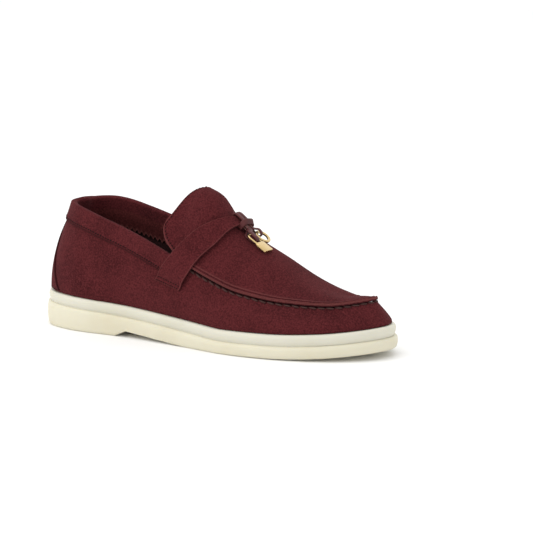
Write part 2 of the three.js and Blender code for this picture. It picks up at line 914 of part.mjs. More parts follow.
// ---------- Saddle strap ----------
// The strap climbs from the wall, clears the apron's lip, and crosses the ridge under the knot. Its middle
// line is given by the place on the profile: 0 to 1 on the wall, 1 to 2 on the arch.
const strapFoot = 0.53;
const alongStrap = (pairs) => through(pairs.map(([q, share]) => [q, share * soleLength]));
const strapX = alongStrap([
  [strapFoot, -0.055],
  [1, -0.019],
  [1.3, 0.028],
  [1.565, 0.056],
  [1.9, 0.076],
  [2, strapKnotAt],
]);
const strapGuide = [
  [strapFoot, gap + 0.05],
  [0.61, gap + 0.15],
  [0.7, bandThickness + 2 * gap + 0.2],
  [0.88, bandThickness + 2 * gap + 0.8],
  [1.14, 3.4],
  [1.4, 3.3],
  [1.72, 3.3],
  [2, strapLift],
];
const strapSpan = through([
  [strapFoot, strapWidth],
  [1, strapWidth * 0.86],
  [1.3, mix(strapWaist, strapWidth, 0.45)],
  [1.6, mix(strapWaist, strapWidth, 0.12)],
  [1.85, strapWaist * 0.8],
  [2, strapWaist * 0.76],
]);

function strapPoint(q, side, across, lift) {
  const s = station(strapX(q) + across * strapSpan(q), side);
  return place(s, q > 1 ? below(archCurve(s), q - 1, -lift) : below(wallCurve(s), q, -lift));
}

const strapAcross = [-0.5, -0.25, 0, 0.25, 0.5];
const strapSteps = 32;
function strapRows(extra) {
  const lines = strapAcross.map((across) => {
    const [outer, inner] = SIDES.map((side) =>
      strapGuide.map(([q, lift]) => strapPoint(q, side, across, lift + extra)),
    );
    return curveThrough([...outer, ...inner.reverse().slice(1)]);
  });
  return range(strapSteps + 1).map((i) => lines.map((line) => line.getPoint(i / strapSteps)));
}
const makeStrap = () => sheet(strapRows(strapThickness), strapRows(0));

// The two rows of stitches that hold a strap end, drawn as one cord round the end.
function makeStrapThread(side) {
  const height = 2 * gap + strapThickness + fineThread / 2 + 0.15;
  const edge = 0.42;
  const corner = (q, across) => strapPoint(strapFoot + q, side, across, height);
  const points = [
    corner(0.07, -edge),
    corner(0.045, -edge),
    corner(0.025, -edge + 0.04),
    corner(0.025, 0),
    corner(0.025, edge - 0.04),
    corner(0.045, edge),
    corner(0.07, edge),
  ];
  return cord(curveThrough(points), fineThread, 20, 4);
}

// ---------- Knot ----------
// The knot's frame is the strap's own where it crosses the ridge: x across the strap towards the toe,
// y along it, z up from its middle plane.
function frame(origin, forwards) {
  const y = vec(0, 1, 0);
  const x = forwards.clone().setY(0).normalize();
  return new THREE.Matrix4().makeBasis(x, y, x.clone().cross(y)).setPosition(origin);
}
const knotFrame = frame(
  strapPoint(2, OUTER, 0, strapLift + strapThickness / 2),
  strapPoint(2, OUTER, 0.5, strapLift).sub(strapPoint(2, OUTER, -0.5, strapLift)),
);

const turnAt = laceWidth / 2 + 0.3; // each of the two turns of lace, from the middle
const turnLong = strapWaist / 2 + gap + laceThickness / 2 + 0.85;
const turnHigh = strapThickness / 2 + gap + laceThickness / 2 + 0.55;

// One turn of flat lace round the strap: a rounded oblong.
function laceTurn(y) {
  const squareness = 0.55;
  const stretch = (c) => Math.sign(c) * Math.abs(c) ** squareness;
  const sections = range(18).map((i) => {
    const turn = (2 * Math.PI * i) / 18;
    const [c, s] = [Math.cos(turn), Math.sin(turn)];
    const middle = vec(turnLong * stretch(c), y, turnHigh * stretch(s));
    const outwards = vec(c / turnLong, 0, s / turnHigh).normalize();
    return flatSection(middle, vec(0, 1, 0), outwards, laceWidth, laceThickness);
  });
  return loft(sections, { loop: true });
}

// The section of a flat lace with soft edges.
function flatSection(middle, wide, thick, width, thickness) {
  const corners = [
    [0.5, 0.2],
    [0.38, 0.5],
    [-0.38, 0.5],
    [-0.5, 0.2],
    [-0.5, -0.2],
    [-0.38, -0.5],
    [0.38, -0.5],
    [0.5, -0.2],
  ];
  return corners.map(([a, b]) =>
    middle.clone().addScaledVector(wide, a * width).addScaledVector(thick, b * thickness),
  );
}

// A flat lace along a curve, its width kept level across the shoe.
function ribbon(curve, width, thickness, steps) {
  const sections = range(steps + 1).map((i) => {
    const along = curve.getTangent(i / steps);
    const wide = vec(0, 1, 0).addScaledVector(along, -along.y).normalize();
    return flatSection(curve.getPoint(i / steps), wide, along.clone().cross(wide), width, thickness);
  });
  return loft(sections);
}

// The bight lies across the front of both turns and holds the ends down.
const bightAt = turnLong + laceThickness / 2 + 0.75;
const bightHalf = 5.2;
const bightTop = turnHigh + 0.2;
function laceBight() {
  const points = [
    vec(bightAt - 1.8, -turnAt - 1.3, bightTop * 0.3),
    vec(bightAt - 0.9, -bightHalf, bightTop * 0.25),
    vec(bightAt, -bightHalf * 0.75, bightTop * 0.8),
    vec(bightAt, 0, bightTop),
    vec(bightAt, bightHalf * 0.75, bightTop * 0.8),
    vec(bightAt - 0.9, bightHalf, bightTop * 0.25),
    vec(bightAt - 1.8, turnAt + 1.3, bightTop * 0.3),
  ];
  return cord(curveThrough(points), 1.9, 20, 6);
}

// The two ends of the lace leave the knot under the bight.
const endHeight = 2 * ribbonThickness + 0.4;
const endMiddle = bightTop - 0.95 - 0.2 - endHeight / 2;
const endSide = 2.15;
const endFront = bightAt + 1;
function laceEnd(side, width) {
  const line = new THREE.LineCurve3(
    vec(turnLong - 0.2, side * endSide, endMiddle),
    vec(endFront, side * endSide, endMiddle),
  );
  return ribbon(line, width, endHeight, 1);
}

const makeKnot = () =>
  fromSolid(
    [
      laceTurn(-turnAt),
      laceTurn(turnAt),
      laceBight(),
      laceEnd(INNER, ringRibbon),
      laceEnd(OUTER, lockRibbon),
    ]
      .map(toSolid)
      .reduce((joined, piece) => joined.add(piece)),
  );

// ---------- Charms ----------
// The height of the apron's face over a point of the ground plan, and a point above it.
function vampHeight(x, y) {
  const side = y < spineY(x) ? OUTER : INNER;
  const s = apronStation(x, side);
  const curve = archCurve(s, s.edge);
  let [low, high] = [0, 1];
  for (let i = 0; i < 30; i++) {
    const middle = (low + high) / 2;
    if (side * (place(s, curve.getPoint(middle)).y - y) > 0) low = middle;
    else high = middle;
  }
  return curve.getPoint(low).y;
}

function overVamp([x, y], height) {
  const slope = new THREE.Vector2(
    (vampHeight(x + 1, y) - vampHeight(x - 1, y)) / 2,
    (vampHeight(x, y + 1) - vampHeight(x, y - 1)) / 2,
  );
  return vec(x, y, vampHeight(x, y) + height * Math.hypot(1, slope.x, slope.y));
}

// A charm hangs with its wire in a fold of lace: the lace runs over the wire, down through the opening
// and back under it. Its frame lies on the wire's middle, x towards the charm's far end.
const foldRoom = 1.45; // from the wire's middle to the lace, so that the charm can turn in the fold
const seat = (at, end, thickness) => {
  const origin = overVamp(at, charmGap + ribbonThickness + foldRoom + 0.1);
  return frame(origin, overVamp(end, charmGap + thickness / 2 + 0.2).sub(origin));
};
const ringSeat = seat(ringAt, ringEnd, ringThickness);
const lockSeat = seat(lockAt, lockEnd, lockThickness);
const ringBar = (ringOuter - ringInner) / 2;

// The folded lace starts in front of the bight, which it is hinged to by the top edge of its start.
const tailStart = endFront + 1;
const tailHinge = (side) =>
  vec(endFront + 0.5, side * endSide, endMiddle + endHeight / 2).applyMatrix4(knotFrame);
function foldedLace(charmSeat, side, reach, width) {
  const over = foldRoom + ribbonThickness / 2;
  const at = (x, z) => vec(x, 0, z).applyMatrix4(charmSeat);
  const start = (x, z) => vec(tailStart + x, side * endSide, endMiddle + z).applyMatrix4(knotFrame);
  const rise = ribbonThickness / 2 + 0.2;
  const points = [
    start(0, rise),
    start(0.6, rise),
    at(-0.6, over),
    at(1.2, over),
    at(reach - 0.6, over * 0.7),
    at(reach, 0),
    at(reach - 0.6, -over * 0.7),
    at(1.2, -over),
    at(-0.6, -over),
    start(0.6, -rise),
    start(0, -rise),
  ];
  return ribbon(curveThrough(points), width, ribbonThickness, 28);
}
const makeRingLace = () => foldedLace(ringSeat, INNER, ringBar / 2 + gap + 1.9, ringRibbon);
const makeLockLace = () => foldedLace(lockSeat, OUTER, shackleHeight - 1.7, lockRibbon);

function makeRing() {
  const chamfer = 0.35;
  const [inner, outer, high] = [ringInner / 2, ringOuter / 2, ringThickness / 2];
  const profile = [
    [inner + chamfer, -high],
    [outer - chamfer, -high],
    [outer, -high + chamfer],
    [outer, high - chamfer],
    [outer - chamfer, high],
    [inner + chamfer, high],
    [inner, high - chamfer],
    [inner, -high + chamfer],
    [inner + chamfer, -high],
  ].map(([r, z]) => new THREE.Vector2(r, z));
  const turned = new THREE.LatheGeometry(profile, 28).rotateX(Math.PI / 2);
  return turned.translate((ringOuter + ringInner) / 4, 0, 0);
}

const shackleHalf = lockWidth / 2 - shackleWire / 2 - 0.1;
const socketDepth = 1.8;
function makeShackle() {
  const straight = shackleHalf * 0.9;
  const points = [
    vec(shackleHeight + socketDepth, -shackleHalf, 0),
    vec(shackleHeight * 0.6, -shackleHalf, 0),
    vec(straight, -shackleHalf, 0),
    vec(straight * 0.26, -shackleHalf * 0.7, 0),
    vec(0, 0, 0),
    vec(straight * 0.26, shackleHalf * 0.7, 0),
    vec(straight, shackleHalf, 0),
    vec(shackleHeight * 0.6, shackleHalf, 0),
    vec(shackleHeight + socketDepth, shackleHalf, 0),
  ];
  return cord(curveThrough(points), shackleWire, 24, 6);
}

function makeLockBody() {
  const bevel = 0.3;
  const radius = 0.6;
  const [w, l] = [lockWidth / 2 + 0.35 - bevel, lockLength - 2 * bevel];
  const plate = new THREE.Shape();
  plate.moveTo(radius, -w);
  plate.lineTo(l - radius, -w);
  plate.absarc(l - radius, -w + radius, radius, -Math.PI / 2, 0);
  plate.lineTo(l, w - radius);
  plate.absarc(l - radius, w - radius, radius, 0, Math.PI / 2);
  plate.lineTo(radius, w);
  plate.absarc(radius, w - radius, radius, Math.PI / 2, Math.PI);
  plate.lineTo(0, -w + radius);
  plate.absarc(radius, -w + radius, radius, Math.PI, 1.5 * Math.PI);
  const body = new THREE.ExtrudeGeometry(plate, {
    depth: lockThickness - 2 * bevel,
    bevelEnabled: true,
    bevelSize: bevel,
    bevelThickness: bevel,
    bevelSegments: 1,
    curveSegments: 2,
  });
  body.translate(shackleHeight + bevel, 0, -lockThickness / 2 + bevel);
  let solid = toSolid(body);
  for (const side of SIDES) {
    const bore = shackleWire / 2 + 0.12;
    const socket = new THREE.CylinderGeometry(bore, bore, 2 * (socketDepth + gap), 12);
    socket.rotateZ(Math.PI / 2);
    socket.translate(shackleHeight, side * shackleHalf, 0);
    solid = solid.subtract(toSolid(socket));
  }
  return fromSolid(solid);
}

// ---------- Materials ----------
const leather = (color, roughness = 0.95) =>
  new THREE.MeshStandardMaterial({ color, roughness, metalness: 0 });
const suedeFinish = leather(0x5a262a);
const suedeInside = leather(0x451c20);
const smoothLeather = leather(0x431f22, 0.5);
const threadFinish = leather(0x2a1416, 0.8);
const liningFinish = leather(0x4a2024, 0.85);
const rubberMidsole = leather(0xe2dfcb, 0.55);
const rubberOutsole = leather(0xe8e2c6, 0.6);
const boardFinish = leather(0xb59a72, 0.9);
const corkFinish = leather(0xa87b4f, 0.95);
const foamFinish = leather(0xd9c9a6, 0.95);
const stiffener = leather(0xcfc8ba, 0.8);
const steel = new THREE.MeshStandardMaterial({ color: 0x8d9094, roughness: 0.4, metalness: 1 });
const gold = new THREE.MeshStandardMaterial({ color: 0xd8b66a, roughness: 0.25, metalness: 1 });

// ---------- Assembly ----------
const loafer = new THREE.Group();
const add = (name, geometry, material, parent = loafer) => {
  const mesh = new THREE.Mesh(geometry, material.clone());
  mesh.name = name;
  parent.add(mesh);
  return mesh;
};

add("outsole", makeOutsole(), rubberOutsole);
add("midsole", makeMidsole(), rubberMidsole);
add("shank", makeShank(), steel);
add("bottom_filler", makeBottomFiller(), corkFinish);
add("insole_board", makeInsoleBoard(), boardFinish);
add("heel_pad", makeHeelPad(), foamFinish);
add("footbed", makeFootbed(), smoothLeather);

add("upper_wrap", makeWrap(), suedeFinish);
add("heel_counter", makeHeelCounter(), stiffener);
add("quarter_lining", makeQuarterLining(), liningFinish);
add("toe_puff", makeToePuff(), stiffener);
add("backstay", makeBackstay(), suedeFinish);
add("collar_facing", makeFacing(), suedeInside);
add("collar_band", makeCollarBand(), suedeFinish);
add("apron", makeApron(), suedeFinish);
add("tongue_lining", makeTongueLining(), liningFinish);
add("vamp_lining", makeVampLining(), liningFinish);
add("apron_thread", makeApronThread(), threadFinish);
add("collar_thread", makeCollarThread(), threadFinish);

add("saddle_strap", makeStrap(), suedeFinish);
add("strap_thread_outer", makeStrapThread(OUTER), threadFinish);
add("strap_thread_inner", makeStrapThread(INNER), threadFinish);

const framed = (matrix) => {
  const group = new THREE.Group();
  group.applyMatrix4(matrix);
  loafer.add(group);
  return group;
};
add("lace_knot", makeKnot(), smoothLeather, framed(knotFrame));
add("ring_lace", makeRingLace(), smoothLeather);
add("lock_lace", makeLockLace(), smoothLeather);
add("ring_charm", makeRing(), gold, framed(ringSeat));
const lock = framed(lockSeat);
add("padlock_body", makeLockBody(), gold, lock);
add("padlock_shackle", makeShackle(), gold, lock);

export default loafer;
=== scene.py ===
# %% [markdown]
# # A suede penny loafer
#
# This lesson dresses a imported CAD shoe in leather, thread, rubber and metal. The CAD model holds the
# sizes and the joints. Here the same surfaces are drawn again with far more points, and every piece
# gets a thickness, soft edges, stitches and a finish of its own.
#
# The shoe points along +X, its inner side is +Y, and Z is up. Sizes below are in millimetres, as a
# shoemaker writes them, and turn into metres only where a mesh is made.

import json
import math

import bpy
import numpy as np
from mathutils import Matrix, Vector, noise


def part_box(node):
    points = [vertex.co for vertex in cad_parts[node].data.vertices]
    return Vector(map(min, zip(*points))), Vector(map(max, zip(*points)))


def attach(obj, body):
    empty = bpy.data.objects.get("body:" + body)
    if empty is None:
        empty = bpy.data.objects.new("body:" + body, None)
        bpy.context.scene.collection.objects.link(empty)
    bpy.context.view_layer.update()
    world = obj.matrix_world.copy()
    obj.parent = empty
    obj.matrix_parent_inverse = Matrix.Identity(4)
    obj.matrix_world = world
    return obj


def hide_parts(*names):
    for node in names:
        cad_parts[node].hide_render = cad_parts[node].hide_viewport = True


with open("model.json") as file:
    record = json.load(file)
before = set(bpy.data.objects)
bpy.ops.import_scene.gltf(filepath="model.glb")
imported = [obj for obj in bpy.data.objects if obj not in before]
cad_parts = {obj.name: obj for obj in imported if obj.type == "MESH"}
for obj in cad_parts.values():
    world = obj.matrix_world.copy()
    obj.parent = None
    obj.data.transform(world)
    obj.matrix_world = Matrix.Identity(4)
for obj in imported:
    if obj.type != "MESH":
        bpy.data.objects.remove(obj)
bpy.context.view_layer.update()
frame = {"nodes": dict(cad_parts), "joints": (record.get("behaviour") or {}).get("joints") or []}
MM = 0.001  # metres in a millimetre

# %% [markdown]
# ## Camera, floor and light
#
# A product picture of a shoe wants a long lens from a low angle, so that the sole's lines stay nearly
# level. A bright seamless floor and big soft lights give matte suede its gentle shading. Small lights
# would only make hard shadows that hide the nap.

# %% Camera
VIEW_TURN = 32.2  # degrees round the shoe from its outer side
VIEW_RISE = 9.8  # degrees over the floor
VIEW_DISTANCE = 1.5
LENS = 145
LOOK_AT = Vector((0.0029, 0.0614, 0.040))  # beyond the inner side, where the second shoe would stand

turn, rise = math.radians(VIEW_TURN), math.radians(VIEW_RISE)
backwards = Vector(
    (math.sin(turn) * math.cos(rise), -math.cos(turn) * math.cos(rise), math.sin(rise))
)
camera = bpy.data.objects.new("camera", bpy.data.cameras.new("camera"))
camera.data.lens = LENS
camera.location = LOOK_AT + backwards * VIEW_DISTANCE
camera.rotation_mode = "QUATERNION"
camera.rotation_quaternion = (-backwards).to_track_quat("-Z", "Y")
bpy.context.scene.collection.objects.link(camera)
bpy.context.scene.camera = camera
print("camera at", [round(c, 3) for c in camera.location])


# %% Lights
SHOE_MIDDLE = Vector((0, 0, 0.04))


def soft_light(name, place, size, power, tint=(1, 1, 1)):
    """A square area light that points at the shoe."""
    light = bpy.data.objects.new(name, bpy.data.lights.new(name, "AREA"))
    light.data.size = size
    light.data.energy = power
    light.data.color = tint
    light.location = place
    light.rotation_mode = "QUATERNION"
    light.rotation_quaternion = (SHOE_MIDDLE - Vector(place)).to_track_quat("-Z", "Y")
    bpy.context.scene.collection.objects.link(light)
    return light


soft_light("top_light", (-0.15, -0.2, 1.5), 1.3, 3)
soft_light("key_light", (-0.9, -1.1, 0.9), 1.0, 7, (1, 0.985, 0.96))
soft_light("fill_light", (1.3, -0.5, 0.5), 0.9, 0.3)
soft_light("back_light", (-0.3, 1.4, 0.9), 1.0, 1)

world = bpy.data.worlds.new("studio")
bpy.context.scene.world = world
world.use_nodes = True
world.node_tree.nodes["Background"].inputs["Color"].default_value = (1, 1, 1, 1)
world.node_tree.nodes["Background"].inputs["Strength"].default_value = 1.1
bpy.context.scene.view_settings.view_transform = "Standard"


# %% [markdown]
# ## Small helpers
#
# A mesh is made from lists of points, and a finish from a few shader nodes. Both jobs come back for
# every piece, so each gets a short helper. `ShaderNodes` lets a material be written as a plain
# chain: every call adds one node, sets its sockets by name and links whatever is given as a link.

# %% Mesh helpers
def new_object(name, verts, faces, material=None, smooth=True, crease=50):
    """A mesh object at the origin from points in millimetres. Edges sharper than crease stay sharp."""
    mesh = bpy.data.meshes.new(name)
    mesh.from_pydata([tuple(c * MM for c in v) for v in verts], [], faces)
    mesh.validate()
    made = bpy.data.objects.new(name, mesh)
    bpy.context.scene.collection.objects.link(made)
    if smooth:
        mesh.shade_smooth()
        mesh.set_sharp_from_angle(angle=math.radians(crease))
    if material:
        mesh.materials.append(material)
    return made


def volume_of(verts, faces):
    """The signed volume inside closed faces: below zero when they face inwards."""
    points = np.array(verts, float)
    total = 0.0
    for face in faces:
        for i in range(1, len(face) - 1):
            a, b, c = points[face[0]], points[face[i]], points[face[i + 1]]
            total += a @ np.cross(b, c)
    return total / 6


def welded(sections, loop=False, tips=False):
    """Points and faces of a solid between closed sections, with points in one place made one."""
    count = len(sections[0])
    verts, index = [], {}

    def corner(p):
        key = tuple(round(float(c) * 2000) for c in p)
        if key not in index:
            index[key] = len(verts)
            verts.append(tuple(float(c) for c in p))
        return index[key]

    rings = [[corner(p) for p in section] for section in sections]
    faces = []

    def quad(*corners):
        kept = [c for i, c in enumerate(corners) if c != corners[i - 1]]
        if len(set(kept)) > 2:
            faces.append(kept)

    pairs = list(zip(rings, rings[1:] + rings[:1])) if loop else list(zip(rings, rings[1:]))
    for a, b in pairs:
        for i in range(count):
            j = (i + 1) % count
            quad(a[i], a[j], b[j], b[i])
    if not loop:
        facing = (lambda i: (count - i) % count) if tips else (lambda i: count - 1 - i)
        for i in range(count // 2 - (0 if tips else 1)):
            around = [i, i + 1, facing(i + 1), facing(i)]
            quad(*[rings[-1][c] for c in around])
            quad(*[rings[0][c] for c in reversed(around)])
    if volume_of(verts, faces) < 0:
        faces = [face[::-1] for face in faces]
    return verts, faces


def solid(name, sections, material, loop=False, tips=False, crease=50):
    """A piece lofted through closed sections."""
    verts, faces = welded(sections, loop, tips)
    made = new_object(name, verts, faces, material, crease=crease)
    print(f"{name}: {len(verts)} points, {len(faces)} faces")
    return made


def leather_sections(face, back, bulge=0.35):
    """Closed sections of a leather sheet between a face and a back, with cut edges a little rounded."""
    sections = []
    for front, rear in zip(face, back):
        front, rear = [np.array(p) for p in front], [np.array(p) for p in rear]

        def edge(end, before):
            middle = (front[end] + rear[end]) / 2
            outwards = front[end] - front[before]
            length = np.linalg.norm(outwards)
            thick = np.linalg.norm(front[end] - rear[end])
            return middle + outwards / length * thick * bulge if length > 1e-6 else middle

        sections.append([edge(0, 1), *front, edge(-1, -2), *rear[::-1]])
    return sections


UNDER_EDGE = -1.0  # the lower arris of a cut edge lies in its own shade


def leather_piece(name, face, back, material, loop=False, bulge=0.35, cut=1.0, painted_light=None):
    """A leather sheet as one closed solid.

    The point attribute cut is above 0 where leather is pale, as on cut edges, and where a highlight is
    painted, and below 0 where shade is painted dark on an edge or in a groove. The last argument, a
    function of row and column, gives it for points of the face, to paint highlight and shade there.
    """
    sections = leather_sections(face, back, bulge)
    verts, faces = welded(sections, loop, tips=not loop)
    made = new_object(name, verts, faces, material)

    def key(p):
        return tuple(round(float(c) * 200) for c in p)

    marks = {}
    if painted_light:
        for i, row in enumerate(face):
            marks.update((key(p), painted_light(i, j)) for j, p in enumerate(row))
    width = len(face[0])
    if not loop:
        marks.update((key(p), cut) for s in (sections[0], sections[-1]) for p in s[: width + 2])
    for s in sections:
        marks.update((key(p), cut) for p in (s[1], s[width]))
        marks.update((key(p), UNDER_EDGE) for p in (s[0], s[-1], s[width + 1], s[width + 2]))
    mark_points(made, "cut", [marks.get(key(v), 0.0) for v in verts])
    print(f"{name}: {len(verts)} points, {len(faces)} faces")
    return made


def mark_points(made, name, values):
    """Stores a number for every point of a piece, which its finish can read."""
    attribute = made.data.attributes.new(name, "FLOAT", "POINT")
    attribute.data.foreach_set("value", np.array(values, np.float32))


def dress(piece, node, body="shoe"):
    """Says what a piece rides on, and hides the CAD node that it stands for."""
    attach(piece, body)
    if node:
        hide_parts(node)


# %% Shader helpers
class ShaderNodes:
    """Writes a material's nodes as a chain of calls."""

    def __init__(self, name):
        self.material = bpy.data.materials.new(name)
        self.material.use_nodes = True
        self.tree = self.material.node_tree
        self.shader = self.tree.nodes["Principled BSDF"]
        self.place = self.tree.nodes.new("ShaderNodeTexCoord").outputs["Object"]

    def put(self, target, value):
        if isinstance(value, bpy.types.NodeSocket):
            self.tree.links.new(value, target)
        elif target.type == "RGBA" and len(value) == 3:
            target.default_value = (*value, 1)
        else:
            target.default_value = value

    def add(self, kind, settings=None, **sockets):
        """Adds a node, sets its sockets by name and gives its first output."""
        node = self.tree.nodes.new("ShaderNode" + kind)
        for key, value in (settings or {}).items():
            setattr(node, key, value)
        for key, value in sockets.items():
            name = key.replace("_", " ")
            self.put(next(s for s in node.inputs if s.name.lower() == name and s.enabled), value)
        return node.outputs[0]

    def noise(self, scale, detail=3, rough=0.5, stretch=None):
        """A noise whose scale is in waves to a metre."""
        where = self.add("Mapping", vector=self.place, scale=stretch) if stretch else self.place
        return self.add("TexNoise", vector=where, scale=scale, detail=detail, roughness=rough)

    def ramp(self, factor, low, high, from_low=0.0, from_high=1.0):
        """A colour or a number between low and high as the factor goes from one value to the other."""
        share = self.add(
            "MapRange", value=factor, from_min=from_low, from_max=from_high, to_min=0, to_max=1
        )
        if isinstance(low, (int, float)):
            return self.add("MapRange", value=share, to_min=low, to_max=high)
        return self.mix(share, low, high)

    def mix(self, factor, a, b):
        node = self.tree.nodes.new("ShaderNodeMix")
        node.data_type = "RGBA"
        for target, value in zip((node.inputs[0], node.inputs[6], node.inputs[7]), (factor, a, b)):
            self.put(target, value)
        return node.outputs[2]

    def maths(self, operation, a, b=0.0):
        """An operation on two numbers."""
        node = self.tree.nodes.new("ShaderNodeMath")
        node.operation = operation
        self.put(node.inputs[0], a)
        self.put(node.inputs[1], b)
        return node.outputs[0]

    def attribute(self, name):
        node = self.tree.nodes.new("ShaderNodeAttribute")
        node.attribute_name = name
        return node.outputs["Fac"]

    def bump(self, height, strength, distance, normal=None):
        under = {"normal": normal} if normal else {}
        return self.add("Bump", height=height, strength=strength, distance=distance, **under)

    def finish(self, **sockets):
        for key, value in sockets.items():
            self.put(self.shader.inputs[key.replace("_", " ")], value)
        return self.material


def tone(red, green, blue):
    """A screen colour, 0 to 255, as the linear values that a shader wants."""
    shares = [c / 255 for c in (red, green, blue)]
    return tuple(c / 12.92 if c <= 0.04045 else ((c + 0.055) / 1.055) ** 2.4 for c in shares)


# %% Floor
paint = ShaderNodes("floor_paint")
floor_material = paint.finish(
    Base_Color=paint.ramp(paint.noise(3), (0.9, 0.9, 0.9), (0.93, 0.93, 0.93)), Roughness=0.9
)
FLOOR_HALF = 4000
floor = new_object(
    "floor",
    [(x * FLOOR_HALF, y * FLOOR_HALF, -0.02) for x, y in ((-1, -1), (1, -1), (1, 1), (-1, 1))],
    [(0, 1, 2, 3)],
    floor_material,
)
print("floor", 2 * FLOOR_HALF * MM, "m wide")

# %% [markdown]
# ## The shoe's surfaces
#
# The CAD part and this scene share one rule for the upper. At each station round the sole a profile
# climbs from the feather line, where leather meets sole, up the wall to the seam or the topline, and
# over the instep to the ridge. Every leather piece is a stretch of such profiles at some depth under
# the surface. So two pieces that touch in the CAD touch here as well, however fine the mesh.

# %% Driving dimensions, in millimetres
EDGE_ROUND = 0.5  # the outsole's side stands this far outside its outline
low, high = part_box("outsole")
SOLE_LENGTH = (high.x - low.x) / MM - 2 * EDGE_ROUND
SOLE_WIDTH = 89
OUTSOLE_THICKNESS = 8.3
HEEL_RISE = 8.9
TOE_SPRING = 5.4
MIDSOLE_THICKNESS = 7.5
HEEL_BREAST = -0.226  # share of the length from the middle
ARCH_END = 0.01
ARCH_HEIGHT = 4.4
BREAST_SLOPE = 10

BACK_HEIGHT = 87.5
JUNCTION_HEIGHT = 54.5  # where topline and apron seam meet
TOE_SEAM_HEIGHT = 35
INNER_SIDE_RISE = 7
INSTEP_HEIGHT = 78.5
TONGUE_HEIGHT = 102.5
JUNCTION = -0.019 * SOLE_LENGTH

SUEDE = 1.3  # thickness of the outer leather
BAND = 0.8
FACING = 0.7
LINING = 0.7
GAP = 0.3  # between pieces that touch
OUTER, INNER = -1, 1  # the outer side of a right foot is -Y
SIDES = (OUTER, INNER)
HALF = SOLE_LENGTH / 2
print("sole length", round(SOLE_LENGTH, 2), "mm, junction at", round(JUNCTION, 2), "mm")


# %% Curves
def across(outer, inner):
    """A row across the shoe from two halves, each from its edge to the ridge, which they share."""
    return [*outer, *inner[-2::-1]]


def through(pairs):
    """A smooth curve through (station, value) pairs, level beyond its ends, never overshooting."""
    xs, ys = [p[0] for p in pairs], [p[1] for p in pairs]
    slopes = [(ys[i + 1] - ys[i]) / (xs[i + 1] - xs[i]) for i in range(len(xs) - 1)]
    tangents = []
    for i in range(len(xs)):
        a, b = slopes[max(i - 1, 0)], slopes[min(i, len(slopes) - 1)]
        tangents.append(0 if a * b <= 0 else 2 * a * b / (a + b))

    def at(x):
        if x <= xs[0]:
            return ys[0]
        if x >= xs[-1]:
            return ys[-1]
        i = next(k for k in range(len(xs) - 1) if x <= xs[k + 1])
        wide = xs[i + 1] - xs[i]
        t = (x - xs[i]) / wide
        return (
            ys[i] * (2 * t**3 - 3 * t**2 + 1)
            + wide * tangents[i] * (t**3 - 2 * t**2 + t)
            + ys[i + 1] * (3 * t**2 - 2 * t**3)
            + wide * tangents[i + 1] * (t**3 - t**2)
        )

    return at


def along_sole(*pairs):
    """A curve whose stations are shares of the sole's length from its middle."""
    curve = through(pairs)
    return lambda x: curve(x / SOLE_LENGTH)


def rope_through(points, closed=False):
    """A centripetal Catmull-Rom curve, which bends softly through uneven points without loops."""
    p = [np.array(q, float) for q in points]
    n = len(p)

    def pick(k):
        if closed:
            return p[k % n]
        if k < 0:
            return 2 * p[0] - p[1]
        return p[k] if k < n else 2 * p[-1] - p[-2]

    def at(u):
        spans = n if closed else n - 1
        i = min(int(u * spans), spans - 1)
        w = u * spans - i
        a, b, c, d = (pick(k) for k in range(i - 1, i + 3))
        d0, d1, d2 = (max(np.sum((r - q) ** 2) ** 0.25, 1e-6) for q, r in ((a, b), (b, c), (c, d)))
        t1 = ((b - a) / d0 - (c - a) / (d0 + d1) + (c - b) / d1) * d1
        t2 = ((c - b) / d1 - (d - b) / (d1 + d2) + (d - c) / d2) * d1
        return b + t1 * w + (3 * (c - b) - 2 * t1 - t2) * w**2 + (2 * (b - c) + t1 + t2) * w**3

    return at


def bezier(c, t):
    """Points of a cubic Bezier curve at the shares t."""
    t = np.asarray(t, float)[:, None]
    return (1 - t) ** 3 * c[0] + 3 * (1 - t) ** 2 * t * c[1] + 3 * (1 - t) * t**2 * c[2] + t**3 * c[3]


def bezier_direction(c, t):
    t = np.asarray(t, float)[:, None]
    d = (1 - t) ** 2 * (c[1] - c[0]) + 2 * (1 - t) * t * (c[2] - c[1]) + t**2 * (c[3] - c[2])
    return d / np.linalg.norm(d, axis=1, keepdims=True)


def below(c, t, depth=0.0):
    """Points of a profile at the shares t, moved a depth under its surface."""
    d = bezier_direction(c, t)
    return bezier(c, t) + np.stack([d[:, 1], -d[:, 0]], 1) * np.broadcast_to(depth, len(d))[:, None]


def steps_of(line):
    """The distances from each point of a line to the next."""
    return np.linalg.norm(np.diff(line, axis=0), axis=1)


def lengths_along(line):
    """How far along a line each of its points lies."""
    return np.concatenate([[0], np.cumsum(steps_of(line))])


def ease(t):
    """A share that leaves 0 and reaches 1 gently."""
    t = min(max(t, 0), 1)
    return t * t * (3 - 2 * t)


def mix(a, b, t):
    return a + (b - a) * t


# %% The sole's outline and heights
# fmt: off
outline_points = [  # shares of the length and of the width, round the sole from the heel's tip
    (-0.5, 0), (-0.463, -0.247), (-0.366, -0.365), (-0.187, -0.371), (0, -0.434), (0.142, -0.494),
    (0.284, -0.449), (0.403, -0.303), (0.478, -0.096), (0.5, 0.09), (0.47, 0.292), (0.373, 0.455),
    (0.224, 0.506), (0.056, 0.41), (-0.131, 0.309), (-0.336, 0.348), (-0.455, 0.253),
]
# fmt: on
OUTLINE_SAMPLES = 1200
outline_curve = rope_through([(x * SOLE_LENGTH, y * SOLE_WIDTH) for x, y in outline_points], True)
samples = np.array([outline_curve(i / OUTLINE_SAMPLES) for i in range(OUTLINE_SAMPLES)])
outline_low, outline_high = samples.min(0), samples.max(0)
stretch = SOLE_LENGTH / (outline_high[0] - outline_low[0])
samples = (samples - (outline_low + outline_high) / 2) * stretch


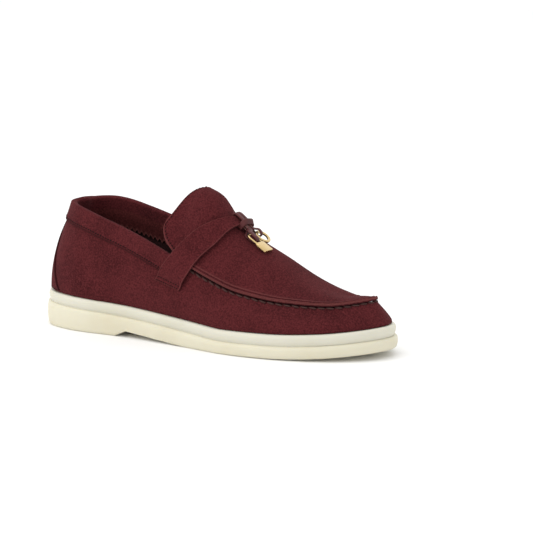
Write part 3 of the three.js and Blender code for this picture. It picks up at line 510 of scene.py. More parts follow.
def side_of_outline(side):
    """One side as x, y and outward normal, from the heel's back to the toe's tip."""
    count, lowest = len(samples), int(samples[:, 0].argmin())
    rows = []
    for i in range(count):
        here = (lowest + (i if side == OUTER else -i)) % count
        forward = samples[(here + 3) % count] - samples[(here - 3) % count]
        forward /= np.linalg.norm(forward)
        x, y = samples[here]
        if rows and x <= rows[-1][0]:
            break
        rows.append((x, y, forward[1], -forward[0]))
    return np.array(rows)


outline_sides = {side: side_of_outline(side) for side in SIDES}


def outline(x, side, inset):
    """The outline's point at station x, moved inwards."""
    rows = outline_sides[side]
    px, py, nx, ny = (np.interp(x, rows[:, 0], rows[:, k]) for k in range(4))
    length = math.hypot(nx, ny)
    return np.array([px - nx / length * inset, py - ny / length * inset])


heel_share = along_sole((-0.5, 1), (-0.22, 0.66), (0.11, 0))
spring_share = along_sole((0.1, 0), (0.26, 0.08), (0.37, 0.35), (0.5, 1))


def ground_at(x):
    return TOE_SPRING * spring_share(x)


def outsole_top(x):
    return OUTSOLE_THICKNESS + HEEL_RISE * heel_share(x) + ground_at(x)


def midsole_top(x):
    return outsole_top(x) + MIDSOLE_THICKNESS


print("sole width", round(np.ptp(samples[:, 1]), 1), "mm")

# %% The upper's profiles
FEATHER_INSET = 2.4
SPINE_HEEL, SPINE_TOE, SPINE_SOFTNESS = -0.355 * SOLE_LENGTH, 0.38 * SOLE_LENGTH, 8
end_tuck = along_sole((-0.5, 1.2), (-0.38, 0), (0.4, 0), (0.5, 1))
wall_top_height = along_sole(
    (-0.5, BACK_HEIGHT),
    (-0.37, BACK_HEIGHT - 3),
    (-0.26, mix(JUNCTION_HEIGHT, BACK_HEIGHT, 0.68)),
    (-0.093, mix(JUNCTION_HEIGHT, BACK_HEIGHT, 0.23)),
    (-0.019, JUNCTION_HEIGHT),
    (0.06, mix(TOE_SEAM_HEIGHT, JUNCTION_HEIGHT, 0.574)),
    (0.15, mix(TOE_SEAM_HEIGHT, JUNCTION_HEIGHT, 0.2)),
    (0.27, TOE_SEAM_HEIGHT - 0.4),
    (0.38, TOE_SEAM_HEIGHT - 1.6),
    (0.5, TOE_SEAM_HEIGHT + 1),
)
# fmt: off
inner_rise_share = along_sole(
    (-0.45, 0), (-0.27, 0.65), (-0.14, 1), (-0.05, 0.9), (0, 0.7), (0.15, 0), (0.36, -0.3),
    (0.42, -0.3), (0.5, 0),
)
wall_top_inset = along_sole(
    (-0.5, 22), (-0.463, 15.5), (-0.41, 10.5), (-0.366, 7.5), (-0.26, 5), (-0.1, 4), (-0.019, 4.5),
    (0.08, 7.5), (0.2, 10.5), (0.35, 11.4), (0.5, 10.8),
)
# fmt: on
wall_lean = along_sole(  # degrees from upright at the top
    (-0.5, 28), (-0.44, 18), (-0.36, 10), (-0.1, 9), (-0.019, 14), (0.1, 30), (0.25, 42), (0.5, 46)
)
wall_bulge = along_sole((-0.5, -1), (-0.4, 1.6), (-0.1, 2.2), (0.2, 2.2), (0.38, 0.4), (0.5, -2.5))
ridge_height = along_sole(
    (-0.019, TONGUE_HEIGHT),
    (0.015, mix(INSTEP_HEIGHT, TONGUE_HEIGHT, 0.82)),
    (0.04, mix(INSTEP_HEIGHT, TONGUE_HEIGHT, 0.45)),
    (0.075, INSTEP_HEIGHT),
    (0.2, mix(TOE_SEAM_HEIGHT, INSTEP_HEIGHT, 0.56)),
    (0.27, mix(TOE_SEAM_HEIGHT, INSTEP_HEIGHT, 0.31)),
    (0.336, mix(TOE_SEAM_HEIGHT, INSTEP_HEIGHT, 0.135)),
    (0.38, mix(TOE_SEAM_HEIGHT, INSTEP_HEIGHT, 0.06)),
)
arch_start = along_sole((-0.019, 71), (0.075, 62), (0.2, 49), (0.3, 34), (0.4, 22), (0.5, 14))


def soft_step(t):
    return SPINE_SOFTNESS * math.log(1 + math.exp(t / SPINE_SOFTNESS))


def spine_x(x):
    return SPINE_HEEL + soft_step(x - SPINE_HEEL) - soft_step(x - SPINE_TOE)


def spine_y(x):
    return 7 * ease((x / SOLE_LENGTH - 0.05) / 0.4)


# handles and the bulge's place, as shares of the curves they shape
WALL_HANDLE, ARCH_HANDLE, BULGE_AT = 0.38, 0.45, 0.36


class Profile:
    """The upright plane from a point of the feather line in to the spine, and the curves in it."""

    def __init__(self, x, side):
        self.x, self.side = x, side
        self.foot = outline(x, side, FEATHER_INSET + end_tuck(x))
        inwards = np.array([spine_x(x), spine_y(spine_x(x))]) - self.foot
        self.reach = float(np.hypot(*inwards))
        self.inwards = inwards / self.reach
        rise = INNER_SIDE_RISE * inner_rise_share(x) if side == INNER else 0
        self.bottom = midsole_top(self.foot[0]) + GAP
        self.top = np.array([wall_top_inset(x), wall_top_height(x) + rise])
        self.ridge = np.array([self.reach, ridge_height(spine_x(x))])
        self.start = math.radians(arch_start(x))
        height = self.top[1] - self.bottom
        lean, handle = math.radians(wall_lean(x)), WALL_HANDLE * height
        self.wall = np.array(
            [
                (0, self.bottom + SUEDE),
                (-wall_bulge(x), self.bottom + BULGE_AT * height),
                (self.top[0] - handle * math.sin(lean), self.top[1] - handle * math.cos(lean)),
                self.top,
            ]
        )

    def arch(self, start=None):
        """The curve from the wall's top, or from another start, to the ridge."""
        start = self.top if start is None else start
        wide = self.ridge[0] - start[0]
        handle = ARCH_HANDLE * math.hypot(wide, self.ridge[1] - start[1])
        return np.array(
            [
                start,
                start + handle * np.array([math.cos(self.start), math.sin(self.start)]),
                (self.ridge[0] - ARCH_HANDLE * wide, self.ridge[1]),
                self.ridge,
            ]
        )

    def place(self, p):
        """Points (distance inwards, height) of the plane as points in space."""
        p = np.atleast_2d(p)
        return np.column_stack([self.foot + p[:, :1] * self.inwards, p[:, 1]])

    def below_top(self, length):
        """The share of the wall's curve that lies a length below its top."""
        line = bezier(self.wall, np.linspace(0, 1, 60))
        whole = steps_of(line).sum()
        return 1 - min(max(length / whole, 0), 1)


# %% Stations
# A turn of -1 to 1 runs from a station on the outer side to the same on the inner side, round the toe
# or round the heel. Stations are spread evenly along the top of the wall.
def toe_way(t):
    return JUNCTION + (HALF - JUNCTION) * math.cos(t * math.pi / 2), OUTER if t < 0 else INNER


def heel_way_from(limit):
    """A way round the heel that starts and ends at the station limit."""
    return lambda t: (limit - (HALF + limit) * math.cos(t * math.pi / 2), OUTER if t < 0 else INNER)


heel_way = heel_way_from(JUNCTION)


def even_stations(way, spacing):
    """(profile, distance) pairs every spacing millimetres along the top of the wall."""
    turns = np.linspace(-1, 1, 321)
    line = []
    for t in turns:
        p = Profile(*way(t))
        line.append(p.place(p.top)[0])
    lengths = lengths_along(line)
    count = max(round(lengths[-1] / spacing), 2)
    wanted = np.linspace(0, lengths[-1], count + 1)
    return [(Profile(*way(t)), d) for t, d in zip(np.interp(wanted, lengths, turns), wanted)]


toe_stations = even_stations(toe_way, 0.62)
heel_stations = even_stations(heel_way, 1.5)
SEAM_LENGTH, TOPLINE_LENGTH = toe_stations[-1][1], heel_stations[-1][1]
print("apron seam", round(SEAM_LENGTH), "mm, topline", round(TOPLINE_LENGTH), "mm")

# %% [markdown]
# ## Finishes
#
# Suede is the flesh side of leather, sanded to a short nap. It has no gloss. What makes it look soft is
# a faint lighter rim where the nap is seen edge-on, clouds where it has been brushed different ways,
# and a fine grain. Sheen gives the rim. Four noises, each finer than the last, give the clouds, the
# nap, the grain and the fibres.


# %% Suede, leather and thread
def suede(name, base, light, dark, sheen=0.06):
    """Matte suede. Above 0 the point attribute cut pales cut edges and paints highlight; below, shade.
    """
    m = ShaderNodes(name)
    clouds = m.noise(38, 4, 0.55)
    nap = m.noise(950, 2, 0.7)
    grain = m.noise(2600, 2, 0.7)
    fibres = m.noise(5200, 1, 0.5, stretch=(1, 1, 0.3))
    colour = m.ramp(clouds, dark, base, 0.33, 0.55)
    colour = m.mix(m.ramp(nap, 0.0, 0.8, 0.47, 0.7), colour, light)
    colour = m.mix(m.ramp(nap, 0.75, 0.0, 0.3, 0.5), colour, tuple(c * 0.62 for c in dark))
    colour = m.mix(m.ramp(grain, 0.0, 0.5, 0.5, 0.8), colour, light)
    colour = m.mix(m.ramp(grain, 0.35, 0.0, 0.25, 0.45), colour, tuple(c * 0.45 for c in dark))
    cut = m.attribute("cut")
    # above 0, cut pales cut edges and paints a highlight on the apron lip's ridges
    colour = m.mix(m.maths("MULTIPLY", m.maths("MAXIMUM", cut), 0.75), colour, tone(112, 65, 62))
    # below 0, cut paints shade dark: under edges and in grooves
    colour = m.mix(m.maths("MULTIPLY", m.maths("MINIMUM", cut), -0.85), colour, tone(30, 12, 12))
    height = m.maths("ADD", grain, m.maths("MULTIPLY", fibres, 0.6))
    soft = m.bump(clouds, 0.15, 0.0006)
    return m.finish(
        Base_Color=colour,
        Roughness=0.95,
        Specular_IOR_Level=0.04,
        Sheen_Weight=sheen,
        Sheen_Roughness=0.5,
        Sheen_Tint=(0.75, 0.42, 0.42),
        Normal=m.bump(height, 0.55, 0.00022, soft),
    )


suede_finish = suede("suede", tone(76, 29, 32), tone(94, 40, 42), tone(60, 21, 24))
facing_finish = suede("inside_suede", tone(70, 29, 29), tone(88, 40, 40), tone(60, 24, 24), 0.03)


def smooth_leather(name, base, light, rough=0.45, bump=0.3):
    """Grained leather with a low shine, as on linings and laces."""
    m = ShaderNodes(name)
    cells = m.add("TexVoronoi", vector=m.place, scale=900)
    patches = m.noise(120, 4)
    colour = m.ramp(patches, base, light, 0.3, 0.75)
    colour = m.mix(m.maths("MULTIPLY", m.attribute("cut"), 0.5), colour, tone(112, 78, 72))
    return m.finish(
        Base_Color=colour,
        Roughness=m.ramp(patches, rough - 0.06, rough + 0.1),
        Specular_IOR_Level=0.25,
        Normal=m.bump(cells, bump, 0.0001, m.bump(patches, 0.2, 0.0004)),
    )


# the lining is coloured very dark, partly its own colour and partly painted shade, so the notches under
# the facing's teeth read as shadow
shaded_lining_finish = smooth_leather("lining_leather_shaded", tone(38, 16, 17), tone(52, 23, 24), 0.7)
footbed_finish = smooth_leather("footbed_leather", tone(70, 32, 33), tone(86, 42, 42), 0.55)
lace_finish = smooth_leather("lace_leather", tone(66, 26, 28), tone(88, 39, 39), 0.45)


def thread_finish_of(name, colour):
    m = ShaderNodes(name)
    along = {"bands_direction": "DIAGONAL"}
    twist = m.add("TexWave", along, vector=m.place, scale=900, distortion=3.0)
    return m.finish(
        Base_Color=m.ramp(twist, tuple(c * 0.6 for c in colour), colour),
        Roughness=0.85,
        Specular_IOR_Level=0.1,
        Normal=m.bump(twist, 0.5, 0.0002),
    )


thread_finish = thread_finish_of("thread", tone(32, 13, 13))
seam_thread_finish = thread_finish_of("seam_thread", tone(78, 54, 51))
print("finishes:", [m.name for m in bpy.data.materials])

# %% [markdown]
# The sole is cast rubber. The band above the groove is a cooler white than the tread unit below it. The
# rubber lets a little light in, which rounds its shadows, and its surface is very slightly uneven, as
# cast rubber is.


# %% Rubber and metal
def rubber(name, base, shade, rough):
    m = ShaderNodes(name)
    broad = m.noise(22, 3)
    fine = m.noise(1500, 2, 0.6)
    return m.finish(
        Base_Color=m.ramp(broad, shade, base, 0.3, 0.6),
        Roughness=m.ramp(fine, rough - 0.05, rough + 0.08),
        Specular_IOR_Level=0.35,
        Subsurface_Weight=0.12,
        Subsurface_Radius=(0.004, 0.003, 0.0015),
        Subsurface_Scale=1.0,
        Normal=m.bump(fine, 0.12, 0.0001, m.bump(broad, 0.1, 0.001)),
    )


midsole_finish = rubber("midsole_rubber", tone(206, 203, 188), tone(200, 197, 180), 0.48)
outsole_finish = rubber("outsole_rubber", tone(210, 205, 184), tone(205, 198, 174), 0.52)


def metal(name, colour, rough):
    m = ShaderNodes(name)
    brushed = m.noise(1400, 2, 0.6, stretch=(0.1, 1, 1))
    return m.finish(
        Base_Color=colour,
        Metallic=1.0,
        Roughness=m.ramp(brushed, rough - 0.05, rough + 0.1),
        Normal=m.bump(brushed, 0.06, 0.0001),
    )


gold_finish = metal("pale_gold", tone(200, 174, 124), 0.26)
steel_finish = metal("spring_steel", tone(150, 152, 156), 0.35)


def plain(name, base, dark, scale, rough=0.9):
    """A finish for the pieces inside the shoe, mottled at its own scale."""
    m = ShaderNodes(name)
    grain = m.noise(scale, 4, 0.6)
    return m.finish(
        Base_Color=m.ramp(grain, dark, base, 0.35, 0.65),
        Roughness=rough,
        Normal=m.bump(grain, 0.4, 0.0004),
    )


cork_finish = plain("cork", tone(176, 132, 86), tone(120, 82, 48), 420)
board_finish = plain("fibre_board", tone(188, 164, 124), tone(160, 134, 96), 900)
foam_finish = plain("foam", tone(226, 208, 172), tone(206, 184, 146), 1300)
stiffener_finish = plain("stiffener", tone(208, 202, 190), tone(184, 176, 160), 1600)
print("rubber, metal and inner finishes made")

# %% [markdown]
# ## The sole
#
# The midsole and the outsole are each one body of rubber. Their side is a short rounded profile carried
# round the outline, so they are lofted: one ring of points for each step of the profile. The underside
# of the outsole follows the ground, the slanted breast of the heel and the shallow arch in front of it.

# %% Midsole
SOLE_STATIONS = 96
breast = HEEL_BREAST * SOLE_LENGTH
arch_end = ARCH_END * SOLE_LENGTH
sole_x = sorted(
    {-HALF * math.cos(math.pi * i / SOLE_STATIONS) for i in range(SOLE_STATIONS + 1)}
    | {breast + step for step in (-0.4, 0, 0.4, BREAST_SLOPE - 0.4, BREAST_SLOPE, BREAST_SLOPE + 0.4)}
)


def ring(inset, height, xs=None):
    """A ring of the outline at an inset, which may vary along it, starting at the heel's tip."""
    xs = xs or sole_x

    def at(x, side):
        p = outline(x, side, inset(x) if callable(inset) else inset)
        return (*p, height(p[0]))

    return [at(x, OUTER) for x in xs] + [at(x, INNER) for x in xs[-2:0:-1]]


def midsole_level(share):
    return lambda x: mix(outsole_top(x), midsole_top(x), share)


# fmt: off
midsole_side = [  # how far inside the outline, and share of the height
    (4.0, 0.0), (1.9, 0.0), (1.75, 0.06), (1.5, 0.15), (1.15, 0.27), (0.9, 0.42), (0.75, 0.58),
    (0.85, 0.74), (1.25, 0.87), (1.7, 0.95), (2.3, 0.99), (3.2, 1.0),
]
# fmt: on
midsole = solid(
    "midsole_band",
    [ring(inset, midsole_level(share)) for inset, share in midsole_side],
    midsole_finish,
    tips=True,
    crease=70,
)
dress(midsole, "midsole")


# %% Outsole
def arch_at(x):
    """How far the underside is lifted off the ground: nothing under the heel, then breast and arch."""
    if x <= breast or x >= arch_end:
        return 0
    if x < breast + BREAST_SLOPE:
        return ARCH_HEIGHT * (x - breast) / BREAST_SLOPE
    start = breast + BREAST_SLOPE
    corner = mix(breast, arch_end, 0.6)
    a, b = start - 2 * corner + arch_end, 2 * (corner - start)
    t = (-b + math.sqrt(b * b + 4 * a * (x - start))) / (2 * a) if abs(a) > 1e-6 else (x - start) / b
    return (1 - t) ** 2 * ARCH_HEIGHT + 2 * (1 - t) * t * ARCH_HEIGHT * 0.45


def outsole_level(share, drop=0.0):
    def level(x):
        flat = mix(ground_at(x), outsole_top(x), share) - drop
        return max(flat, arch_at(x) + 0.3 * share) if share < 0.5 else flat

    return level


# fmt: off
outsole_side = [  # how far inside the outline, share of the height, and drop into the groove
    (1.4, 0.0, 0), (0.75, 0.02, 0), (0.3, 0.07, 0), (0.0, 0.15, 0), (-0.2, 0.25, 0),
    (-0.42, 0.4, 0), (-0.5, 0.55, 0), (-0.42, 0.7, 0), (-0.15, 0.85, 0), (0.3, 1.0, 0.75),
    (0.8, 1.0, 0.35), (1.3, 1.0, 0.1), (1.9, 1.0, 0), (5.0, 1.0, 0),
]
# fmt: on
outsole = solid(
    "outsole_unit",
    [ring(inset, outsole_level(share, drop)) for inset, share, drop in outsole_side],
    outsole_finish,
    tips=True,
    crease=60,
)
dress(outsole, "outsole")
for piece, node in ((midsole, "midsole"), (outsole, "outsole")):
    size = [round((b - a) / MM, 1) for a, b in zip(*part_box(node))]
    print(node, "CAD size", size, "piece", [round(d / MM, 1) for d in piece.dimensions])

# %% [markdown]
# ## The wall
#
# One strip of suede goes round the whole shoe. It is drawn from its lasted edge under the foot, over
# the feather line and up to the seam. Hand sewing pulls its upper edge into small puckers under the
# apron, one for each stitch, and a hide is never perfectly flat, so a very low noise moves every suede
# piece. All pieces share the noise, so those that touch move together.

# %% Softness and puckers
STITCH_PITCH = 5.6  # apron seam
SOFTNESS = 0.16
SOFT_WAVES = 0.045  # to a millimetre
noise.seed_set(1)  # without a seed it starts from the clock


def soften(points):
    """Moves points by a low, slow noise, as hide is never quite even."""
    return np.array(
        [p + np.array(noise.noise_vector(Vector(p) * SOFT_WAVES)) * SOFTNESS for p in points]
    )


def pucker(distance, length):
    """1 in the hollow at a stitch, -1 between two stitches, along a seam of that length."""
    count = round(length / STITCH_PITCH)
    return math.cos(2 * math.pi * count * distance / length)


# %% Wall
LASTING_MARGIN = 12
WALL_ROWS = 26
PUCKER_DEPTH, PUCKER_REACH = 0.24, 2.4


def wall_row(p, depth, wave=0.0):
    """The wall's section at a profile, from the lasted edge to the seam."""

    def flange(inwards, lift):
        point = p.place((inwards, 0))[0]
        return np.array([point[0], point[1], midsole_top(point[0]) + GAP + lift])

    under = [
        flange(LASTING_MARGIN, depth),
        flange(5, depth),
        flange(1.2 + SUEDE, depth),
        flange(0.6 + depth, depth + 0.05),
        flange(0.15 + depth, depth + 0.45),
    ]
    shares = np.linspace(0.03, 1, WALL_ROWS) ** 0.9
    distance = (1 - shares) * (p.top[1] - p.bottom)
    pull = PUCKER_DEPTH * wave * np.exp(-((distance / PUCKER_REACH) ** 2))
    return soften([*under, *p.place(below(p.wall, shares, depth + pull))])


def wall_shade(row, column):
    """Paints the wall's top point dark along the apron, as the shade in the seam's groove."""
    return -0.9 if row < len(toe_stations) and column > 3 + WALL_ROWS else 0.0


wall_ring = [(p, pucker(d, SEAM_LENGTH)) for p, d in toe_stations]
wall_ring += [(p, 0.0) for p, d in heel_stations[-2:0:-1]]
# cut=-1 paints both edges of the wall dark, as the shade under the apron's lip, the collar band and the
# foot
wall = leather_piece(
    "wall_suede",
    [wall_row(p, 0, wave) for p, wave in wall_ring],
    [wall_row(p, SUEDE, wave) for p, wave in wall_ring],
    suede_finish,
    loop=True,
    cut=-1,
    painted_light=wall_shade,
)
dress(wall, "upper_wrap")

# %% [markdown]
# ## Apron and tongue
#
# The apron is one piece with the tongue. Along the seam its edge is turned up into a raised lip, which
# shows as two close ridges. Behind the seam the same edge runs free as the tongue's rim. Sections run
# across the shoe, from the outer edge over the ridge to the inner edge.

# %% Apron sections
SEAM_LIFT = SUEDE + GAP + 0.1
LIP_OVERHANG, EDGE_INSIDE = 1.1, 0.9
TONGUE_BACK, TONGUE_CLIMB, RIDGE_BACK = -22, 20, -1
TONGUE_CORNER, TONGUE_TOP = 0.5, 0.84
TONGUE_SECTIONS, APRON_SECTIONS = 46, 250
lip_height = through(
    [(0, 0.45), (0.5, 0.95), (0.95, 1.05), (1.5, 0.62), (1.8, 0.55), (2.3, 0.75), (2.8, 0.7), (4.2, 0)]
)


def apron_profile(x, side):
    """A profile whose arch starts at the apron's edge, with how strong its lip is."""
    p = Profile(x, side)
    share = ease((x - JUNCTION) / 7)
    p.edge = p.top + np.array([mix(EDGE_INSIDE, -LIP_OVERHANG, share), SEAM_LIFT])
    p.lip = share
    return p


def tongue_profile(t, side):
    """As apron_profile, for the tongue: t is 0 at the junction and 1 at the tongue's top."""
    p = apron_profile(JUNCTION, side)
    edge = p.place(p.edge)[0] + np.array([TONGUE_BACK * t**0.8, -side * 2.5 * t, TONGUE_CLIMB * t])
    ridge_x = (p.foot + p.inwards * p.reach)[0] + RIDGE_BACK * t
    ridge = np.array([ridge_x, spine_y(JUNCTION), mix(p.ridge[1], TONGUE_HEIGHT, ease(t))])
    inwards = ridge[:2] - edge[:2]
    p.foot, p.reach = edge[:2], float(np.hypot(*inwards))
    p.inwards = inwards / p.reach
    p.edge, p.ridge = np.array([0, edge[2]]), np.array([p.reach, ridge[2]])
    p.start, p.lip = math.radians(mix(71, 36, t)), 0.0
    return p


def tongue_trim(t):
    """The share of a tongue section that is cut away to round the tongue's corner."""
    if t <= TONGUE_CORNER:
        return 0
    around = (t - TONGUE_CORNER) / (1 - TONGUE_CORNER)
    return (1 - TONGUE_TOP) * (1 - math.sqrt(max(1 - around**2, 0)))


LIP_STEPS = [0, 0.3, 0.6, 0.95, 1.3, 1.65, 2.0, 2.4, 2.8, 3.3, 3.9, 4.6]
LIP_WAVE, LIP_DIP, LIP_FRONT = 0.28, 0.2, 1.4
ARCH_STEPS = 22
ARCH_SAMPLES = np.linspace(0, 1, 40)


def apron_row(p, trim, depth, wave=0.0, margin=0.0):
    """Half a section, from the edge to the ridge."""
    curve = p.arch(p.edge)
    lengths = lengths_along(bezier(curve, ARCH_SAMPLES))
    whole = lengths[-1]
    start = np.interp(trim + margin, ARCH_SAMPLES, lengths)
    scale = min(1.0, 0.45 * (whole - start) / LIP_STEPS[-1])
    near = start + np.array(LIP_STEPS) * scale
    far = np.linspace(near[-1], whole, ARCH_STEPS + 1)[1:]
    at = np.concatenate([near, far])
    shares = np.interp(at, lengths, ARCH_SAMPLES)
    swell = np.array([lip_height(d - start) for d in at]) * p.lip
    swell *= 1 + LIP_WAVE * wave * (at - start < LIP_FRONT)
    dip = LIP_DIP * wave * p.lip * np.exp(-(((at - start) / 1.2) ** 2))
    lift = swell - dip if depth <= 0 else 0
    return soften(p.place(below(curve, shares, depth - lift)))


seam_at = {}
for side in SIDES:
    pairs = sorted((p.x, d) for p, d in toe_stations if p.side == side or p.x > HALF - 0.01)
    seam_at[side] = (np.array([a for a, _ in pairs]), np.array([b for _, b in pairs]))


def seam_wave(x, side):
    """The pucker at station x of the apron seam."""
    return pucker(float(np.interp(x, *seam_at[side])), SEAM_LENGTH)


apron_x = [
    JUNCTION + (HALF - JUNCTION) * math.sin(math.pi / 2 * i / APRON_SECTIONS)
    for i in range(APRON_SECTIONS + 1)
]


def apron_sections(depth, end=HALF, margin=0.0):
    """Rows across the shoe from the tongue's top to the station end."""
    rows = []
    for i in range(TONGUE_SECTIONS):
        t = 1 - (i / TONGUE_SECTIONS) ** 0.8
        both = [apron_row(tongue_profile(t, s), tongue_trim(t), depth, 0, margin) for s in SIDES]
        rows.append(across(*both))
    for x in apron_x:
        if x <= end:
            both = [apron_row(apron_profile(x, s), 0, depth, seam_wave(x, s), margin) for s in SIDES]
            rows.append(across(*both))
    return rows


# by column from the edge: above 0 painted highlight on the lip's ridges, below 0 painted shade in the
# crease
LIP_LIGHT_AND_SHADE = {1: 0.3, 2: 0.6, 3: 0.5, 5: -0.35, 6: -0.5, 7: -0.1, 8: 0.6, 9: 0.3}


def lip_light_and_shade(row, column):
    """Paints highlight on the lip's two ridges and shade in the crease; the tongue's rim is paler."""
    last = 2 * (len(LIP_STEPS) + ARCH_STEPS) - 2
    column = min(column, last - column)
    return LIP_LIGHT_AND_SHADE.get(column, 0.0) if row >= TONGUE_SECTIONS else 0.4 * (column in (1, 2, 3))


apron = leather_piece(
    "apron_suede", apron_sections(0), apron_sections(SUEDE), suede_finish, painted_light=lip_light_and_shade
)
dress(apron, "apron")

# %% [markdown]
# ## Heel and collar
#
# A patch covers the back seam: narrow under the collar and wide at the sole. Round the topline lies a
# band that turns over the edge and ends inside. Below it, on the inside, a suede facing shows a pinked
# edge, cut in small teeth so that it doesn't fray or press into the foot.

# %% Stations round the heel
BAND_WIDTH, BAND_INSIDE = 11.5, 9.5
FACING_WIDTH, PINK_DEPTH, PINK_PITCH = 17.6, 2.6, 4.2
FACING_DEPTH = SUEDE + GAP + 0.2
POCKET_DEPTH = SUEDE + GAP + 0.8 + GAP  # past the heel counter
FACING_UNDER = POCKET_DEPTH + LINING + GAP + 0.15


def wall_rows(stations, shares, depth, count):
    """At each station a stretch of the wall's curve. Shares and depth may be functions."""
    rows = []
    for p, distance in stations:
        a, b = shares(p, distance)
        u = np.linspace(0, 1, count)
        depths = np.array([depth(t) for t in u]) if callable(depth) else depth
        rows.append(soften(p.place(below(p.wall, mix(a, b, u), depths))))
    return rows


# %% Backstay
STAY_TOP, STAY_BOTTOM, STAY_COLUMNS, STAY_ROWS = 15, 35, 60, 30
STAY_FOOT = 0.006  # share of the wall's curve, just over the feather line
turns = np.linspace(-1, 1, 401)
feather = np.array([Profile(*heel_way(t)).foot for t in turns])
walked = lengths_along(feather)
walked -= np.interp(0, turns, walked)


def stay_rows(depth):
    rows = []
    for u in np.linspace(-1, 1, STAY_COLUMNS + 1):
        row = []
        for v in np.linspace(0, 1, STAY_ROWS):
            reach = mix(STAY_BOTTOM, STAY_TOP, v**0.8)
            p = Profile(*heel_way(float(np.interp(u * reach, walked, turns))))
            share = mix(STAY_FOOT, p.below_top(BAND_WIDTH + 0.6), v)
            row.append(p.place(below(p.wall, [share], depth))[0])
        rows.append(soften(row))
    return rows


stay_face = stay_rows(-BAND - GAP)
# cut=-1 paints the backstay's edges dark, as the shade along them
backstay = leather_piece("backstay_suede", stay_face, stay_rows(-GAP), suede_finish, cut=-1)
dress(backstay, "backstay")

# %% Collar band
band_stations = even_stations(heel_way_from(JUNCTION - 1), 1.2)
BAND_INNER = FACING_DEPTH + FACING + GAP
EDGE_CLEAR, BAND_OVER = 0.45, 0.95  # room over the wall's edge, and the band's thickness there


def band_row(p, out):
    """The band's section: up the outside, over the edge and down inside. out is 1 on its face."""
    low, inside_low = p.below_top(BAND_WIDTH), p.below_top(BAND_INSIDE)
    outer_depth = -GAP - out * BAND
    inner_depth = BAND_INNER + out * BAND
    along = bezier_direction(p.wall, [1])[0]
    across = np.array([along[1], -along[0]])
    middle, reach = (outer_depth + inner_depth) / 2, (inner_depth - outer_depth) / 2
    rise = EDGE_CLEAR + out * BAND_OVER
    over = [
        p.top + across * (middle - reach * math.cos(a)) + along * rise * math.sin(a)
        for a in np.linspace(0.2, math.pi - 0.2, 9)
    ]
    up = below(p.wall, np.linspace(low, 1, 9), outer_depth)
    down = below(p.wall, np.linspace(1, inside_low, 6), inner_depth)
    return soften(p.place(np.vstack([up, over, down])))


# cut=-0.8 paints the band's edges dark, as the shade under them
band = leather_piece(
    "collar_band_suede",
    [band_row(p, 1) for p, _ in band_stations],
    [band_row(p, 0) for p, _ in band_stations],
    suede_finish,
    cut=-0.8,
)
dress(band, "collar_band")

# %% Pinked facing
TEETH = round(even_stations(heel_way_from(JUNCTION - 3), 4)[-1][1] / PINK_PITCH)
pink_stations = even_stations(heel_way_from(JUNCTION - 3), PINK_PITCH / 8)
pink_length = pink_stations[-1][1]


def tooth(distance):
    """0 between two teeth and 1 at a tooth's point."""
    phase = distance / pink_length * TEETH % 1
    return 1 - abs(2 * phase - 1)


def facing_shares(p, distance):
    return p.below_top(FACING_WIDTH + PINK_DEPTH * tooth(distance)), 0.99


def facing_settles(depth):
    return lambda u: mix(FACING_UNDER, FACING_DEPTH, ease((u - 0.45) / 0.45)) + depth


facing = leather_piece(
    "collar_facing_suede",
    wall_rows(pink_stations, facing_shares, facing_settles(FACING), 9),
    wall_rows(pink_stations, facing_shares, facing_settles(0), 9),
    facing_finish,
    bulge=0.1,
)
dress(facing, "collar_facing")
print(TEETH, "teeth along", round(pink_length), "mm")

# %% [markdown]
# ## Inside
#
# What the foot touches is smooth leather: the lining of heel and quarters, of the vamp and the tongue,
# and the footbed. Stiffener, board, cork and shank are out of sight, so the CAD solids stay and only
# get their finish. The heel pad is foam, and it is drawn as the low crowned wedge that it is.

# %% Linings
VAMP_LINING_START = 0.14 * SOLE_LENGTH
quarter_stations = even_stations(heel_way_from(VAMP_LINING_START - 6), 3)


def quarter_shares(p, distance):
    return 1 - p.below_top(9.5), p.below_top(BAND_WIDTH + 4.5 if p.x < JUNCTION else 5)


lining = leather_piece(
    "quarter_lining_leather",
    wall_rows(quarter_stations, quarter_shares, POCKET_DEPTH + LINING, 14),
    wall_rows(quarter_stations, quarter_shares, POCKET_DEPTH, 14),
    shaded_lining_finish,
)
dress(lining, "quarter_lining")

TONGUE_LINING_DEPTH = SUEDE + GAP + 0.25
tongue_lining = leather_piece(
    "tongue_lining_leather",
    apron_sections(TONGUE_LINING_DEPTH + LINING, 0.13 * SOLE_LENGTH, 0.04),
    apron_sections(TONGUE_LINING_DEPTH, 0.13 * SOLE_LENGTH, 0.04),
    shaded_lining_finish,
)
dress(tongue_lining, "tongue_lining")

VAMP_LINING_DEPTH = SUEDE + GAP + 0.6 + GAP


def vamp_lining_rows(depth):
    rows = []
    steps = 60
    for i in range(steps + 1):
        x = mix(VAMP_LINING_START, HALF, math.sin(math.pi / 2 * i / steps))
        halves = []
        for side in SIDES:
            p = Profile(x, side)
            wall_part = below(p.wall, np.linspace(1 - p.below_top(8.5), 0.85, 7), depth)
            arch_part = below(p.arch(), np.linspace(0.16, 1, 12), depth)
            halves.append(p.place(np.vstack([wall_part, arch_part])))
        rows.append(across(*halves))
    return rows


vamp_lining = leather_piece(
    "vamp_lining_leather",
    vamp_lining_rows(VAMP_LINING_DEPTH + LINING),
    vamp_lining_rows(VAMP_LINING_DEPTH),
    shaded_lining_finish,
)
dress(vamp_lining, "vamp_lining")

# %% Footbed and heel pad
BOARD_TOP = GAP + SUEDE + GAP + 2
clear_of_wall = along_sole((-0.5, 2.6), (-0.38, 0), (0.2, 0), (0.34, 2.6), (0.5, 3.2))
pad_top = along_sole((-0.26, 3), (-0.14, 0.9), (-0.04, 0))
pad_gap = along_sole((-0.1, GAP), (-0.04, 0))
PAD_END = -0.12 * SOLE_LENGTH


def within(inset):
    return lambda x: FEATHER_INSET + inset + clear_of_wall(x)


def footbed_low(x):
    return midsole_top(x) + BOARD_TOP + GAP + pad_top(x) + pad_gap(x)


